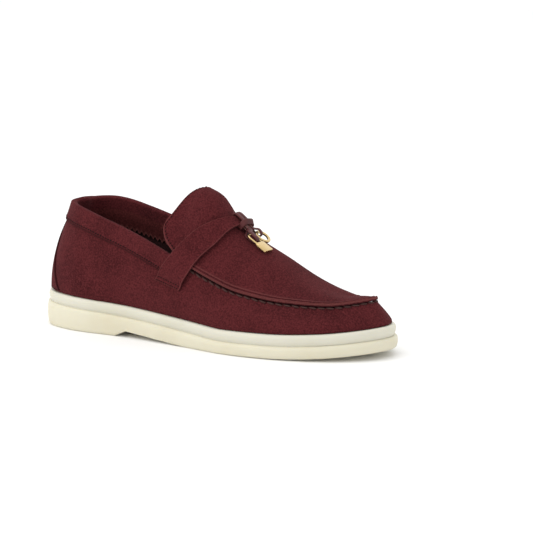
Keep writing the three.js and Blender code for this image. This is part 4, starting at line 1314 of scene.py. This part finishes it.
def footbed_rows(lift, dish):
    """Rows across the footbed. Its rim is turned up a little, as the foot's print leaves it."""
    rows = []
    steps = 90
    for i in range(steps + 1):
        x = -HALF * math.cos(math.pi * i / steps)
        a, b = (outline(x, side, within(5.4)(x)) for side in SIDES)
        row = []
        for u in np.linspace(0, 1, 17):
            p = mix(a, b, u)
            rim = abs(2 * u - 1) ** 4
            row.append((p[0], p[1], footbed_low(p[0]) + lift + dish * rim))
        rows.append(row)
    return rows


footbed = leather_piece("footbed_leather", footbed_rows(1.8, 0.6), footbed_rows(0, 0), footbed_finish)
dress(footbed, "footbed")

pad_x = [mix(PAD_END, -HALF, 0.5 + 0.5 * math.cos(math.pi * i / 36)) for i in range(37)][::-1]


def pad_level(share):
    return lambda x: midsole_top(x) + BOARD_TOP + GAP + share * pad_top(x)


heel_pad = solid(
    "heel_pad_foam",
    [
        ring(within(inset), pad_level(share), pad_x)
        for inset, share in ((9, 0), (7, 0), (6.5, 0.2), (6.5, 0.7), (7.2, 0.95), (9, 1))
    ],
    foam_finish,
    tips=True,
)
dress(heel_pad, "heel_pad")

# %% Pieces out of sight
for node, finish in (
    ("shank", steel_finish),
    ("bottom_filler", cork_finish),
    ("insole_board", board_finish),
    ("heel_counter", stiffener_finish),
    ("toe_puff", stiffener_finish),
):
    piece = frame["nodes"][node]
    piece.data.materials.clear()
    piece.data.materials.append(finish)
print("inner CAD nodes finished")

# %% [markdown]
# ## Saddle strap
#
# The strap is one band of suede from side to side. It is widest where it is sewn to the wall, stands
# clear of the apron's lip, and is gathered to a narrow neck under the knot. Its middle line runs
# through a few places on the profile: 0 to 1 climbs the wall, 1 to 2 crosses the arch to the ridge.

# %% Strap
STRAP_WIDTH, STRAP_WAIST, STRAP_THICKNESS, STRAP_LIFT = 21, 7.5, 1.4, 4
STRAP_FOOT, KNOT_AT = 0.53, 0.08
strap_shares = (
    (STRAP_FOOT, -0.055), (1, -0.019), (1.3, 0.028), (1.565, 0.056), (1.9, 0.076), (2, KNOT_AT)
)  # fmt: skip
strap_station = through([(q, share * SOLE_LENGTH) for q, share in strap_shares])
strap_guide = [  # heights over the leather
    (STRAP_FOOT, GAP + 0.05),
    (0.61, GAP + 0.15),
    (0.7, BAND + 2 * GAP + 0.2),
    (0.88, BAND + 2 * GAP + 0.8),
    (1.14, 3.4),
    (1.4, 3.3),
    (1.72, 3.3),
    (2, STRAP_LIFT),
]
strap_span = through(
    [
        (STRAP_FOOT, STRAP_WIDTH),
        (1, STRAP_WIDTH * 0.86),
        (1.3, mix(STRAP_WAIST, STRAP_WIDTH, 0.45)),
        (1.6, mix(STRAP_WAIST, STRAP_WIDTH, 0.12)),
        (1.85, STRAP_WAIST * 0.8),
        (2, STRAP_WAIST * 0.76),
    ]
)


def strap_point(q, side, share_across, lift):
    """A point of the strap: q along it, -0.5 to 0.5 across it, at a height over the leather."""
    p = Profile(strap_station(q) + share_across * strap_span(q), side)
    curve, share = (p.arch(), q - 1) if q > 1 else (p.wall, q)
    return p.place(below(curve, [share], -lift))[0]


def strap_line(share_across, extra):
    halves = [
        [strap_point(q, side, share_across, lift + extra) for q, lift in strap_guide] for side in SIDES
    ]
    return rope_through(across(*halves))


STRAP_ACROSS = (-0.5, -0.475, -0.43, -0.25, 0, 0.25, 0.43, 0.475, 0.5)


def strap_rows(extra, steps=150):
    """Rows across the strap, from its outer end to its inner end."""
    lines = [strap_line(share, extra) for share in STRAP_ACROSS]
    return [soften([line(i / steps) for line in lines]) for i in range(steps + 1)]


strap = leather_piece(
    "saddle_strap_suede", strap_rows(STRAP_THICKNESS), strap_rows(0), suede_finish, cut=0.7
)
dress(strap, "saddle_strap")

# %% [markdown]
# ## Knot and strands
#
# A flat lace is hitched round the strap: two turns side by side, a wide bight laid over them in front,
# and two strands that come out under the bight and fold round the charms. A flat lace is a ribbon with
# soft edges, so each run of it is a small rounded section carried along a curve.

# %% Frames
LACE_WIDTH, LACE_THICKNESS, RIBBON_THICKNESS = 3, 1.5, 1.1
CHARM_GAP = 0.45  # between a charm and the vamp
RING_OUTER, RING_INNER, RING_THICKNESS, RING_RIBBON = 11.6, 7.4, 1.5, 2.6
RING_AT, RING_END = (31.4, 5.3), (40.8, 5.3)
LOCK_LENGTH, LOCK_WIDTH, LOCK_THICKNESS, LOCK_RIBBON = 9.2, 7.8, 2, 3.9
SHACKLE_WIRE, SHACKLE_HEIGHT = 1.25, 9
LOCK_AT, LOCK_END = (31.8, -5.6), (48, -5.6)


class Frame:
    """A place and three directions: x forwards, y across the shoe, z up from the leather."""

    def __init__(self, origin, forwards):
        self.origin = np.array(origin, float)
        x = np.array([forwards[0], 0, forwards[2]], float)
        x /= np.linalg.norm(x)
        y = np.array([0.0, 1.0, 0.0])
        self.axes = np.array([x, y, np.cross(x, y)])

    def at(self, *p):
        return self.origin + np.array(p, float) @ self.axes


knot_frame = Frame(
    strap_point(2, OUTER, 0, STRAP_LIFT + STRAP_THICKNESS / 2),
    strap_point(2, OUTER, 0.5, STRAP_LIFT) - strap_point(2, OUTER, -0.5, STRAP_LIFT),
)


def vamp_height(x, y):
    """The height of the apron's face over a place of the ground plan."""
    side = OUTER if y < spine_y(x) else INNER
    p = apron_profile(x, side)
    curve = p.arch(p.edge)
    low, high = 0.0, 1.0
    for _ in range(30):
        middle = (low + high) / 2
        if side * (p.place(bezier(curve, [middle]))[0][1] - y) > 0:
            low = middle
        else:
            high = middle
    return bezier(curve, [low])[0][1]


def over_vamp(place, height):
    x, y = place
    slope_x = (vamp_height(x + 1, y) - vamp_height(x - 1, y)) / 2
    slope_y = (vamp_height(x, y + 1) - vamp_height(x, y - 1)) / 2
    return np.array([x, y, vamp_height(x, y) + height * math.hypot(1, slope_x, slope_y)])


FOLD_ROOM = 1.45  # inside a strand's fold


def charm_frame(at, end, thickness):
    origin = over_vamp(at, CHARM_GAP + RIBBON_THICKNESS + FOLD_ROOM + 0.1)
    return Frame(origin, over_vamp(end, CHARM_GAP + thickness / 2 + 0.2) - origin)


ring_frame = charm_frame(RING_AT, RING_END, RING_THICKNESS)
lock_frame = charm_frame(LOCK_AT, LOCK_END, LOCK_THICKNESS)
joints = {j["name"]: [c / MM for c in j["pos_m"]] for j in frame["joints"]}
for name, made in (("ring_swing", ring_frame), ("padlock_swing", lock_frame)):
    print(name, "hinge is", round(float(np.linalg.norm(made.origin - joints[name])), 3), "mm off")

# %% Ribbons
SECTION_POINTS = 14


def squarish(v, power=0.6):
    """A sine or cosine pushed outwards, which turns a circle into a rounded square."""
    return math.copysign(abs(v) ** power, v)


def lace_section(middle, wide, thick, width, thickness):
    """A flat section with soft edges and a slightly crowned face."""
    points = []
    for i in range(SECTION_POINTS):
        a = 2 * math.pi * i / SECTION_POINTS
        u = squarish(math.cos(a)) * width / 2
        v = squarish(math.sin(a), 0.75) * thickness / 2
        points.append(middle + wide * u + thick * v)
    return points


def unit(v):
    return v / np.linalg.norm(v)


def ribbon_sections(curve, width, thickness, steps, level=(0.0, 1.0, 0.0), lean=0.0):
    """Sections of a flat lace along a curve, its width kept along level, leaned by an angle."""
    sections = []
    for i in range(steps + 1):
        t = i / steps
        ahead = curve(min(t + 1e-3, 1)) - curve(max(t - 1e-3, 0))
        along = unit(ahead)
        wide = unit(np.array(level) - along * (np.array(level) @ along))
        thick = np.cross(along, wide)
        tilt = lean(t) if callable(lean) else lean
        wide, thick = (
            wide * math.cos(tilt) + thick * math.sin(tilt),
            thick * math.cos(tilt) - wide * math.sin(tilt),
        )
        broad = width(t) if callable(width) else width
        sections.append(lace_section(curve(t), wide, thick, broad, thickness))
    return sections


TURN_AT = LACE_WIDTH / 2 + 0.3
TURN_LONG = STRAP_WAIST / 2 + GAP + LACE_THICKNESS / 2 + 0.85
TURN_HIGH = STRAP_THICKNESS / 2 + GAP + LACE_THICKNESS / 2 + 0.55


TURN_STEPS = 64


def lace_turn(name, y):
    """One turn of lace round the strap, a rounded oblong."""
    sections = []
    for i in range(TURN_STEPS):
        a = 2 * math.pi * i / TURN_STEPS
        c, s = math.cos(a), math.sin(a)
        middle = knot_frame.at(TURN_LONG * squarish(c), y, TURN_HIGH * squarish(s))
        outwards = unit(knot_frame.at(c / TURN_LONG, 0, s / TURN_HIGH) - knot_frame.origin)
        sections.append(
            lace_section(middle, np.array([0, 1.0, 0]), outwards, LACE_WIDTH * 1.04, LACE_THICKNESS)
        )
    return solid(name, sections, lace_finish, loop=True)


turns_made = [lace_turn("lace_turn_outer", -TURN_AT), lace_turn("lace_turn_inner", TURN_AT)]

# %% Bight and ends
BIGHT_AT = TURN_LONG + LACE_THICKNESS / 2 + 0.75
BIGHT_HALF, BIGHT_RISE, BIGHT_SLANT = 5.0, 3.9, 0.9
BIGHT_WIDTH, BIGHT_SWELL, BIGHT_THICKNESS = 3.5, 0.7, 1.25
BIGHT_TOP = TURN_HIGH + 0.2


def bight_arch():
    """A squarish arch over the front of both turns, from the outer side to the inner side."""
    arch = []
    for a in np.linspace(-0.3, math.pi + 0.3, 241):
        c, s = squarish(math.cos(a)), squarish(math.sin(a))
        arch.append(
            knot_frame.at(TURN_LONG - 0.25 - BIGHT_SLANT * c, -BIGHT_HALF * c, BIGHT_RISE * s - 0.4)
        )
    lengths = lengths_along(arch)
    wanted = np.linspace(0, lengths[-1], 23)
    return rope_through(np.column_stack([np.interp(wanted, lengths, c) for c in np.array(arch).T]))


bight = solid(
    "lace_bight",
    ribbon_sections(
        bight_arch(),
        lambda t: BIGHT_WIDTH + BIGHT_SWELL * math.sin(math.pi * t),
        BIGHT_THICKNESS,
        60,
        level=knot_frame.axes[0] * 0.75 - knot_frame.axes[2] * 0.65,
    ),
    lace_finish,
)
RUN_RISE = RIBBON_THICKNESS / 2 + 0.2  # from a strand's middle to each of its two runs
END_HEIGHT = 2 * RIBBON_THICKNESS + 0.4
END_MIDDLE = BIGHT_TOP - 0.95 - 0.2 - END_HEIGHT / 2
END_SIDE = 2.15
END_FRONT = BIGHT_AT + 1


def lace_end(name, side, width):
    """A doubled end of lace that leaves the knot under the bight."""
    runs = []
    for lift in (RUN_RISE, -RUN_RISE):
        line = rope_through(
            [
                knot_frame.at(TURN_LONG - 0.6, side * END_SIDE, END_MIDDLE + lift * 0.8),
                knot_frame.at(BIGHT_AT, side * END_SIDE, END_MIDDLE + lift),
                knot_frame.at(END_FRONT + 0.4, side * END_SIDE, END_MIDDLE + lift),
            ]
        )
        runs.append(ribbon_sections(line, width, RIBBON_THICKNESS, 8))
    parts = [solid(f"{name}_{k}", run, lace_finish) for k, run in zip(("top", "under"), runs)]
    for part in parts:
        mark_points(part, "cut", [0.8] * len(part.data.vertices))
    return parts


ends = lace_end("lace_end_inner", INNER, RING_RIBBON) + lace_end("lace_end_outer", OUTER, LOCK_RIBBON)
for piece in [*turns_made, bight, *ends]:
    dress(piece, "lace_knot" if piece is bight else None)

# %% Strands
TAIL_START = END_FRONT + 1


def strand(name, charm, side, reach, width):
    """A strand that lies over the charm's wire, folds down through it and comes back under it."""
    over = FOLD_ROOM + RIBBON_THICKNESS / 2

    def start(x, z):
        return knot_frame.at(TAIL_START + x, side * END_SIDE, END_MIDDLE + z)

    line = rope_through(
        [
            start(-0.4, RUN_RISE),
            start(0.6, RUN_RISE),
            charm.at(-0.6, 0, over),
            charm.at(1.2, 0, over),
            charm.at(reach - 0.6, 0, over * 0.7),
            charm.at(reach, 0, 0),
            charm.at(reach - 0.6, 0, -over * 0.7),
            charm.at(1.2, 0, -over),
            charm.at(-0.6, 0, -over),
            start(0.6, -RUN_RISE),
            start(-0.4, -RUN_RISE),
        ]
    )
    return solid(name, ribbon_sections(line, width, RIBBON_THICKNESS, 110), lace_finish)


RING_BAR = (RING_OUTER - RING_INNER) / 2
ring_strand = strand("ring_strand_lace", ring_frame, INNER, RING_BAR / 2 + GAP + 1.9, RING_RIBBON)
dress(ring_strand, "ring_lace", "ring_strand")
lock_strand = strand("padlock_strand_lace", lock_frame, OUTER, SHACKLE_HEIGHT - 1.7, LOCK_RIBBON)
dress(lock_strand, "lock_lace", "padlock_strand")

# %% [markdown]
# ## Charms
#
# Two small castings in pale gold: a flat ring, and a plain padlock whose shackle is as wide as its
# body. What makes such small metal look real is a rounded arris on every edge, which catches a line of
# light.


# %% Ring
def stack(name, rings, material, crease=35):
    """A solid through rings of points, closed by a flat face at each end."""
    count = len(rings[0])
    verts = [p for r in rings for p in r]
    faces = [list(range(count))[::-1], [len(verts) - count + i for i in range(count)]]
    for k in range(len(rings) - 1):
        for i in range(count):
            j = (i + 1) % count
            faces.append([k * count + i, k * count + j, (k + 1) * count + j, (k + 1) * count + i])
    if volume_of(verts, faces) < 0:
        faces = [face[::-1] for face in faces]
    return new_object(name, verts, faces, material, crease=crease)


def rounded(wide, high, radius, steps=4):
    """A rounded rectangle round the origin, as (across, up) points."""
    points = []
    for k, (sx, sy) in enumerate(((1, 1), (-1, 1), (-1, -1), (1, -1))):
        for i in range(steps + 1):
            a = math.pi / 2 * (k + i / steps)
            points.append(
                (
                    sx * (wide / 2 - radius) + radius * math.cos(a),
                    sy * (high / 2 - radius) + radius * math.sin(a),
                )
            )
    return points


profile = rounded(RING_BAR, RING_THICKNESS, 0.4)
RING_STEPS = 96
radius = (RING_OUTER + RING_INNER) / 4
ring_sections = []
for i in range(RING_STEPS):
    a = 2 * math.pi * i / RING_STEPS
    ring_sections.append(
        [
            ring_frame.at(radius + (radius + r) * math.cos(a), (radius + r) * math.sin(a), z)
            for r, z in profile
        ]
    )
ring_charm = solid("ring_gold", ring_sections, gold_finish, loop=True)
dress(ring_charm, "ring_charm", "ring")

# %% Padlock
plate_rings = []
for inset, z in ((0.3, -1), (0.1, -0.93), (0, -0.75), (0, 0.75), (0.1, 0.93), (0.3, 1)):
    outline_2d = rounded(LOCK_LENGTH - 2 * inset, LOCK_WIDTH + 0.7 - 2 * inset, 0.6 - 0.3 * inset)
    plate_rings.append(
        [
            lock_frame.at(SHACKLE_HEIGHT + LOCK_LENGTH / 2 + x, y, z * LOCK_THICKNESS / 2)
            for x, y in outline_2d
        ]
    )
padlock = stack("padlock_gold", plate_rings, gold_finish)
dress(padlock, "padlock_body", "padlock")

SHACKLE_HALF = LOCK_WIDTH / 2 - SHACKLE_WIRE / 2 - 0.1
SHACKLE_STEPS = 80
straight = SHACKLE_HALF * 0.9
half_bow = [
    (SHACKLE_HEIGHT + 1.2, SHACKLE_HALF),
    (SHACKLE_HEIGHT * 0.6, SHACKLE_HALF),
    (straight, SHACKLE_HALF),
    (straight * 0.26, SHACKLE_HALF * 0.7),
]
bow = [(x, -y) for x, y in half_bow] + [(0, 0)] + half_bow[::-1]
bow_line = rope_through([lock_frame.at(x, y, 0) for x, y in bow])
up = lock_frame.axes[2]
shackle_sections = []
for i in range(SHACKLE_STEPS + 1):
    t = i / SHACKLE_STEPS
    along = unit(bow_line(min(t + 1e-3, 1)) - bow_line(max(t - 1e-3, 0)))
    side_way = np.cross(up, along)
    shackle_sections.append(
        [
            bow_line(t) + (side_way * math.cos(a) + up * math.sin(a)) * SHACKLE_WIRE / 2
            for a in np.linspace(0, 2 * math.pi, 16, endpoint=False)
        ]
    )
shackle = stack("shackle_gold", shackle_sections, gold_finish)
dress(shackle, "padlock_shackle", "padlock")
print("charms made")

# %% [markdown]
# ## Stitches
#
# A row of stitches repeats one small shape along a line, which is what Geometry Nodes are for. The line
# is a chain of points on the leather, and each point holds the direction away from the surface. The
# node tree turns the chain into a curve, steps along it, and puts a little spindle of thread at every
# step, pointing along the row. It is turned into a plain mesh once it is made.


# %% Stitch tree
def stitch_tree():
    tree = bpy.data.node_groups.new("stitch_row", "GeometryNodeTree")
    face = tree.interface
    face.new_socket("Geometry", in_out="INPUT", socket_type="NodeSocketGeometry")
    for name in ("Pitch", "Length", "Width", "Height", "Slant", "Unevenness"):
        face.new_socket(name, in_out="INPUT", socket_type="NodeSocketFloat")
    face.new_socket("Seed", in_out="INPUT", socket_type="NodeSocketInt")
    face.new_socket("Thread", in_out="INPUT", socket_type="NodeSocketMaterial")
    face.new_socket("Geometry", in_out="OUTPUT", socket_type="NodeSocketGeometry")

    def node(kind, first=None, settings=None, **sockets):
        """Adds a node, sets or links its sockets by name, and gives its output."""
        made = tree.nodes.new(kind)
        for key, value in (settings or {}).items():
            setattr(made, key, value)
        for key, value in sockets.items():
            target = made.inputs[key.replace("_", " ")]
            if isinstance(value, bpy.types.NodeSocket):
                tree.links.new(value, target)
            else:
                target.default_value = value
        if first is not None:
            tree.links.new(first, made.inputs[0])
        return next(s for s in made.outputs if s.enabled)

    inputs = tree.nodes.new("NodeGroupInput").outputs
    line = node("GeometryNodeMeshToCurve", inputs["Geometry"])
    steps = node("GeometryNodeResampleCurve", line, {"mode": "LENGTH"}, Length=inputs["Pitch"])

    # each stitch lies along the line, its top to the outside, leaned by the slant and some chance
    align = "FunctionNodeAlignRotationToVector"
    ahead = node(align, settings={"axis": "X"}, Vector=node("GeometryNodeInputTangent"))
    up = node("GeometryNodeInputNamedAttribute", None, {"data_type": "FLOAT_VECTOR"}, Name="up")
    upright = node(align, ahead, {"axis": "Z", "pivot_axis": "X"}, Vector=up)
    chance = node(
        "FunctionNodeRandomValue", None, {"data_type": "FLOAT"}, Min=-1, Seed=inputs["Seed"]
    )
    jitter = node("ShaderNodeMath", chance, {"operation": "MULTIPLY_ADD"})
    for k, name in ((1, "Unevenness"), (2, "Slant")):
        tree.links.new(inputs[name], jitter.node.inputs[k])
    lean = node("FunctionNodeAxisAngleToRotation", Axis=(0, 0, 1), Angle=jitter)
    turned = node("FunctionNodeRotateRotation", upright, {"rotation_space": "LOCAL"}, Rotate_By=lean)

    spindle = node("GeometryNodeMeshUVSphere", Segments=8, Rings=8, Radius=0.5)
    upended = node("GeometryNodeTransform", spindle, Rotation=(0, math.pi / 2, 0))
    size = node("ShaderNodeCombineXYZ", X=inputs["Length"], Y=inputs["Width"], Z=inputs["Height"])
    sized = node("GeometryNodeTransform", upended, Scale=size)

    put = node("GeometryNodeInstanceOnPoints", steps, Instance=sized, Rotation=turned)
    smooth = node("GeometryNodeSetShadeSmooth", node("GeometryNodeRealizeInstances", put))
    painted = node("GeometryNodeSetMaterial", smooth, Material=inputs["Thread"])
    tree.links.new(painted, tree.nodes.new("NodeGroupOutput").inputs[0])
    return tree


stitches_tree = stitch_tree()
print("stitch tree:", len(stitches_tree.nodes), "nodes")


# %% Sew
def sew(name, lines, size, seed, thread=thread_finish, slant=0.0, uneven=0.07):
    """Stitches along lines of (point, up) pairs, as one plain mesh.

    size is the pitch, length, width and height of a stitch, in millimetres.
    """
    verts, edges, ups = [], [], []
    for line in lines:
        edges += [(len(verts) + i, len(verts) + i + 1) for i in range(len(line) - 1)]
        verts += [tuple(c * MM for c in p) for p, _ in line]
        ups += [tuple(up) for _, up in line]
    chain = bpy.data.meshes.new(name + "_line")
    chain.from_pydata(verts, edges, [])
    chain.attributes.new("up", "FLOAT_VECTOR", "POINT").data.foreach_set(
        "vector", np.array(ups, np.float32).ravel()
    )
    carrier = bpy.data.objects.new(name + "_line", chain)
    bpy.context.scene.collection.objects.link(carrier)
    modifier = carrier.modifiers.new("stitches", "NODES")
    modifier.node_group = stitches_tree
    values = dict(zip(("Pitch", "Length", "Width", "Height"), (s * MM for s in size)))
    values |= {"Slant": slant, "Unevenness": uneven, "Seed": seed, "Thread": thread}
    for item in stitches_tree.interface.items_tree:
        if item.in_out == "INPUT" and item.name in values:
            modifier[item.identifier] = values[item.name]
    evaluated = carrier.evaluated_get(bpy.context.evaluated_depsgraph_get())
    mesh = bpy.data.meshes.new_from_object(evaluated)
    carrier.modifiers.clear()
    bpy.data.objects.remove(carrier)
    bpy.data.meshes.remove(chain)
    mesh.name = name
    made = bpy.data.objects.new(name, mesh)
    bpy.context.scene.collection.objects.link(made)
    print(f"{name}: {len(mesh.polygons)} faces, {len(mesh.materials)} material")
    return made


def wall_line(stations, drop, depth, inwards=False):
    """A line on the wall, a drop below its top, at a depth. Its up points out, or to the inside."""
    line = []
    for p, _ in stations:
        share = [p.below_top(drop)]
        here, deeper = (p.place(below(p.wall, share, d))[0] for d in (depth, depth + 1))
        line.append((soften([here])[0], deeper - here if inwards else here - deeper))
    return line


# %% Collar rows
inside_stations = even_stations(heel_way_from(JUNCTION - 6), 1.5)
collar_row = sew(
    "collar_stitches",
    [wall_line(inside_stations, BAND_WIDTH - 1.6, -GAP - BAND - 0.05)],
    (2.2, 1.6, 0.85, 0.6),
    seed=1,
)
dress(collar_row, "collar_thread")
rim_row = sew(
    "collar_inside_stitches",
    [wall_line(inside_stations, BAND_INSIDE - 1.2, BAND_INNER + BAND + 0.05, inwards=True)],
    (2.2, 1.7, 0.45, 0.35),
    seed=2,
)
dress(rim_row, None)

# %% Tongue row
TONGUE_STITCH = 1.6  # millimetres from the tongue's edge
STITCH_TOP = 0.93  # where the row turns across, as a share of the tongue


def on_tongue(t, side, share):
    """(point, up) on the tongue's face. share may be a function of the section's curve."""
    p = tongue_profile(t, side)
    curve = p.arch(p.edge)
    share = share(curve) if callable(share) else share
    a, b = (p.place(below(curve, [share], d))[0] for d in (-0.05, 1))
    return soften([a])[0], a - b


def near_rim(t):
    return lambda curve: tongue_trim(t) + TONGUE_STITCH / steps_of(bezier(curve, ARCH_SAMPLES)).sum()


def tongue_line():
    """Round the tongue's rim: up the outer edge, along the top and down the inner edge."""
    climb = [mix(0.08, STITCH_TOP, i / 39) for i in range(40)]
    outer, inner = ([on_tongue(t, side, near_rim(t)) for t in climb] for side in SIDES)
    top = []
    for k in range(1, 40):
        u = k / 40
        share = mix(tongue_trim(STITCH_TOP) + 0.03, 1, 2 * u if u < 0.5 else 2 - 2 * u)
        top.append(on_tongue(STITCH_TOP, OUTER if u < 0.5 else INNER, share))
    return [*outer, *top, *inner[::-1]]


tongue_row = sew("tongue_stitches", [tongue_line()], (2.3, 1.45, 0.8, 0.55), seed=3)
dress(tongue_row, None)

# %% Strap rows
for side, word, seed in ((OUTER, "outer", 4), (INNER, "inner", 5)):
    lines = []
    for rise_share in (0.022, 0.085):
        line = []
        q = STRAP_FOOT + rise_share
        lift = np.interp(q, *zip(*strap_guide)) + STRAP_THICKNESS
        for share in np.linspace(-0.42, 0.42, 12):
            a, b = (strap_point(q, side, share, lift + d) for d in (0.05, -1))
            line.append((soften([a])[0], a - b))
        lines.append(line)
    row = sew(f"strap_stitches_{word}", lines, (2.0, 1.3, 0.7, 0.5), seed=seed)
    dress(row, f"strap_thread_{word}")

# %% [markdown]
# The apron seam is sewn by hand with a thick thread that comes out under the lip at each pucker. It
# shows as a rope of short slanted stitches in the groove between the lip and the wall, where the wall
# is painted dark as shade.

# %% Apron seam
seam_row = sew(
    "apron_stitches",
    [wall_line(toe_stations[6:-6:2], 0.9, -0.35)],
    (STITCH_PITCH, 5.2, 1.3, 1.1),
    seed=6,
    thread=seam_thread_finish,
    slant=-0.14,
    uneven=0.04,
)
dress(seam_row, "apron_thread")

# %% Close
bpy.context.view_layer.update()
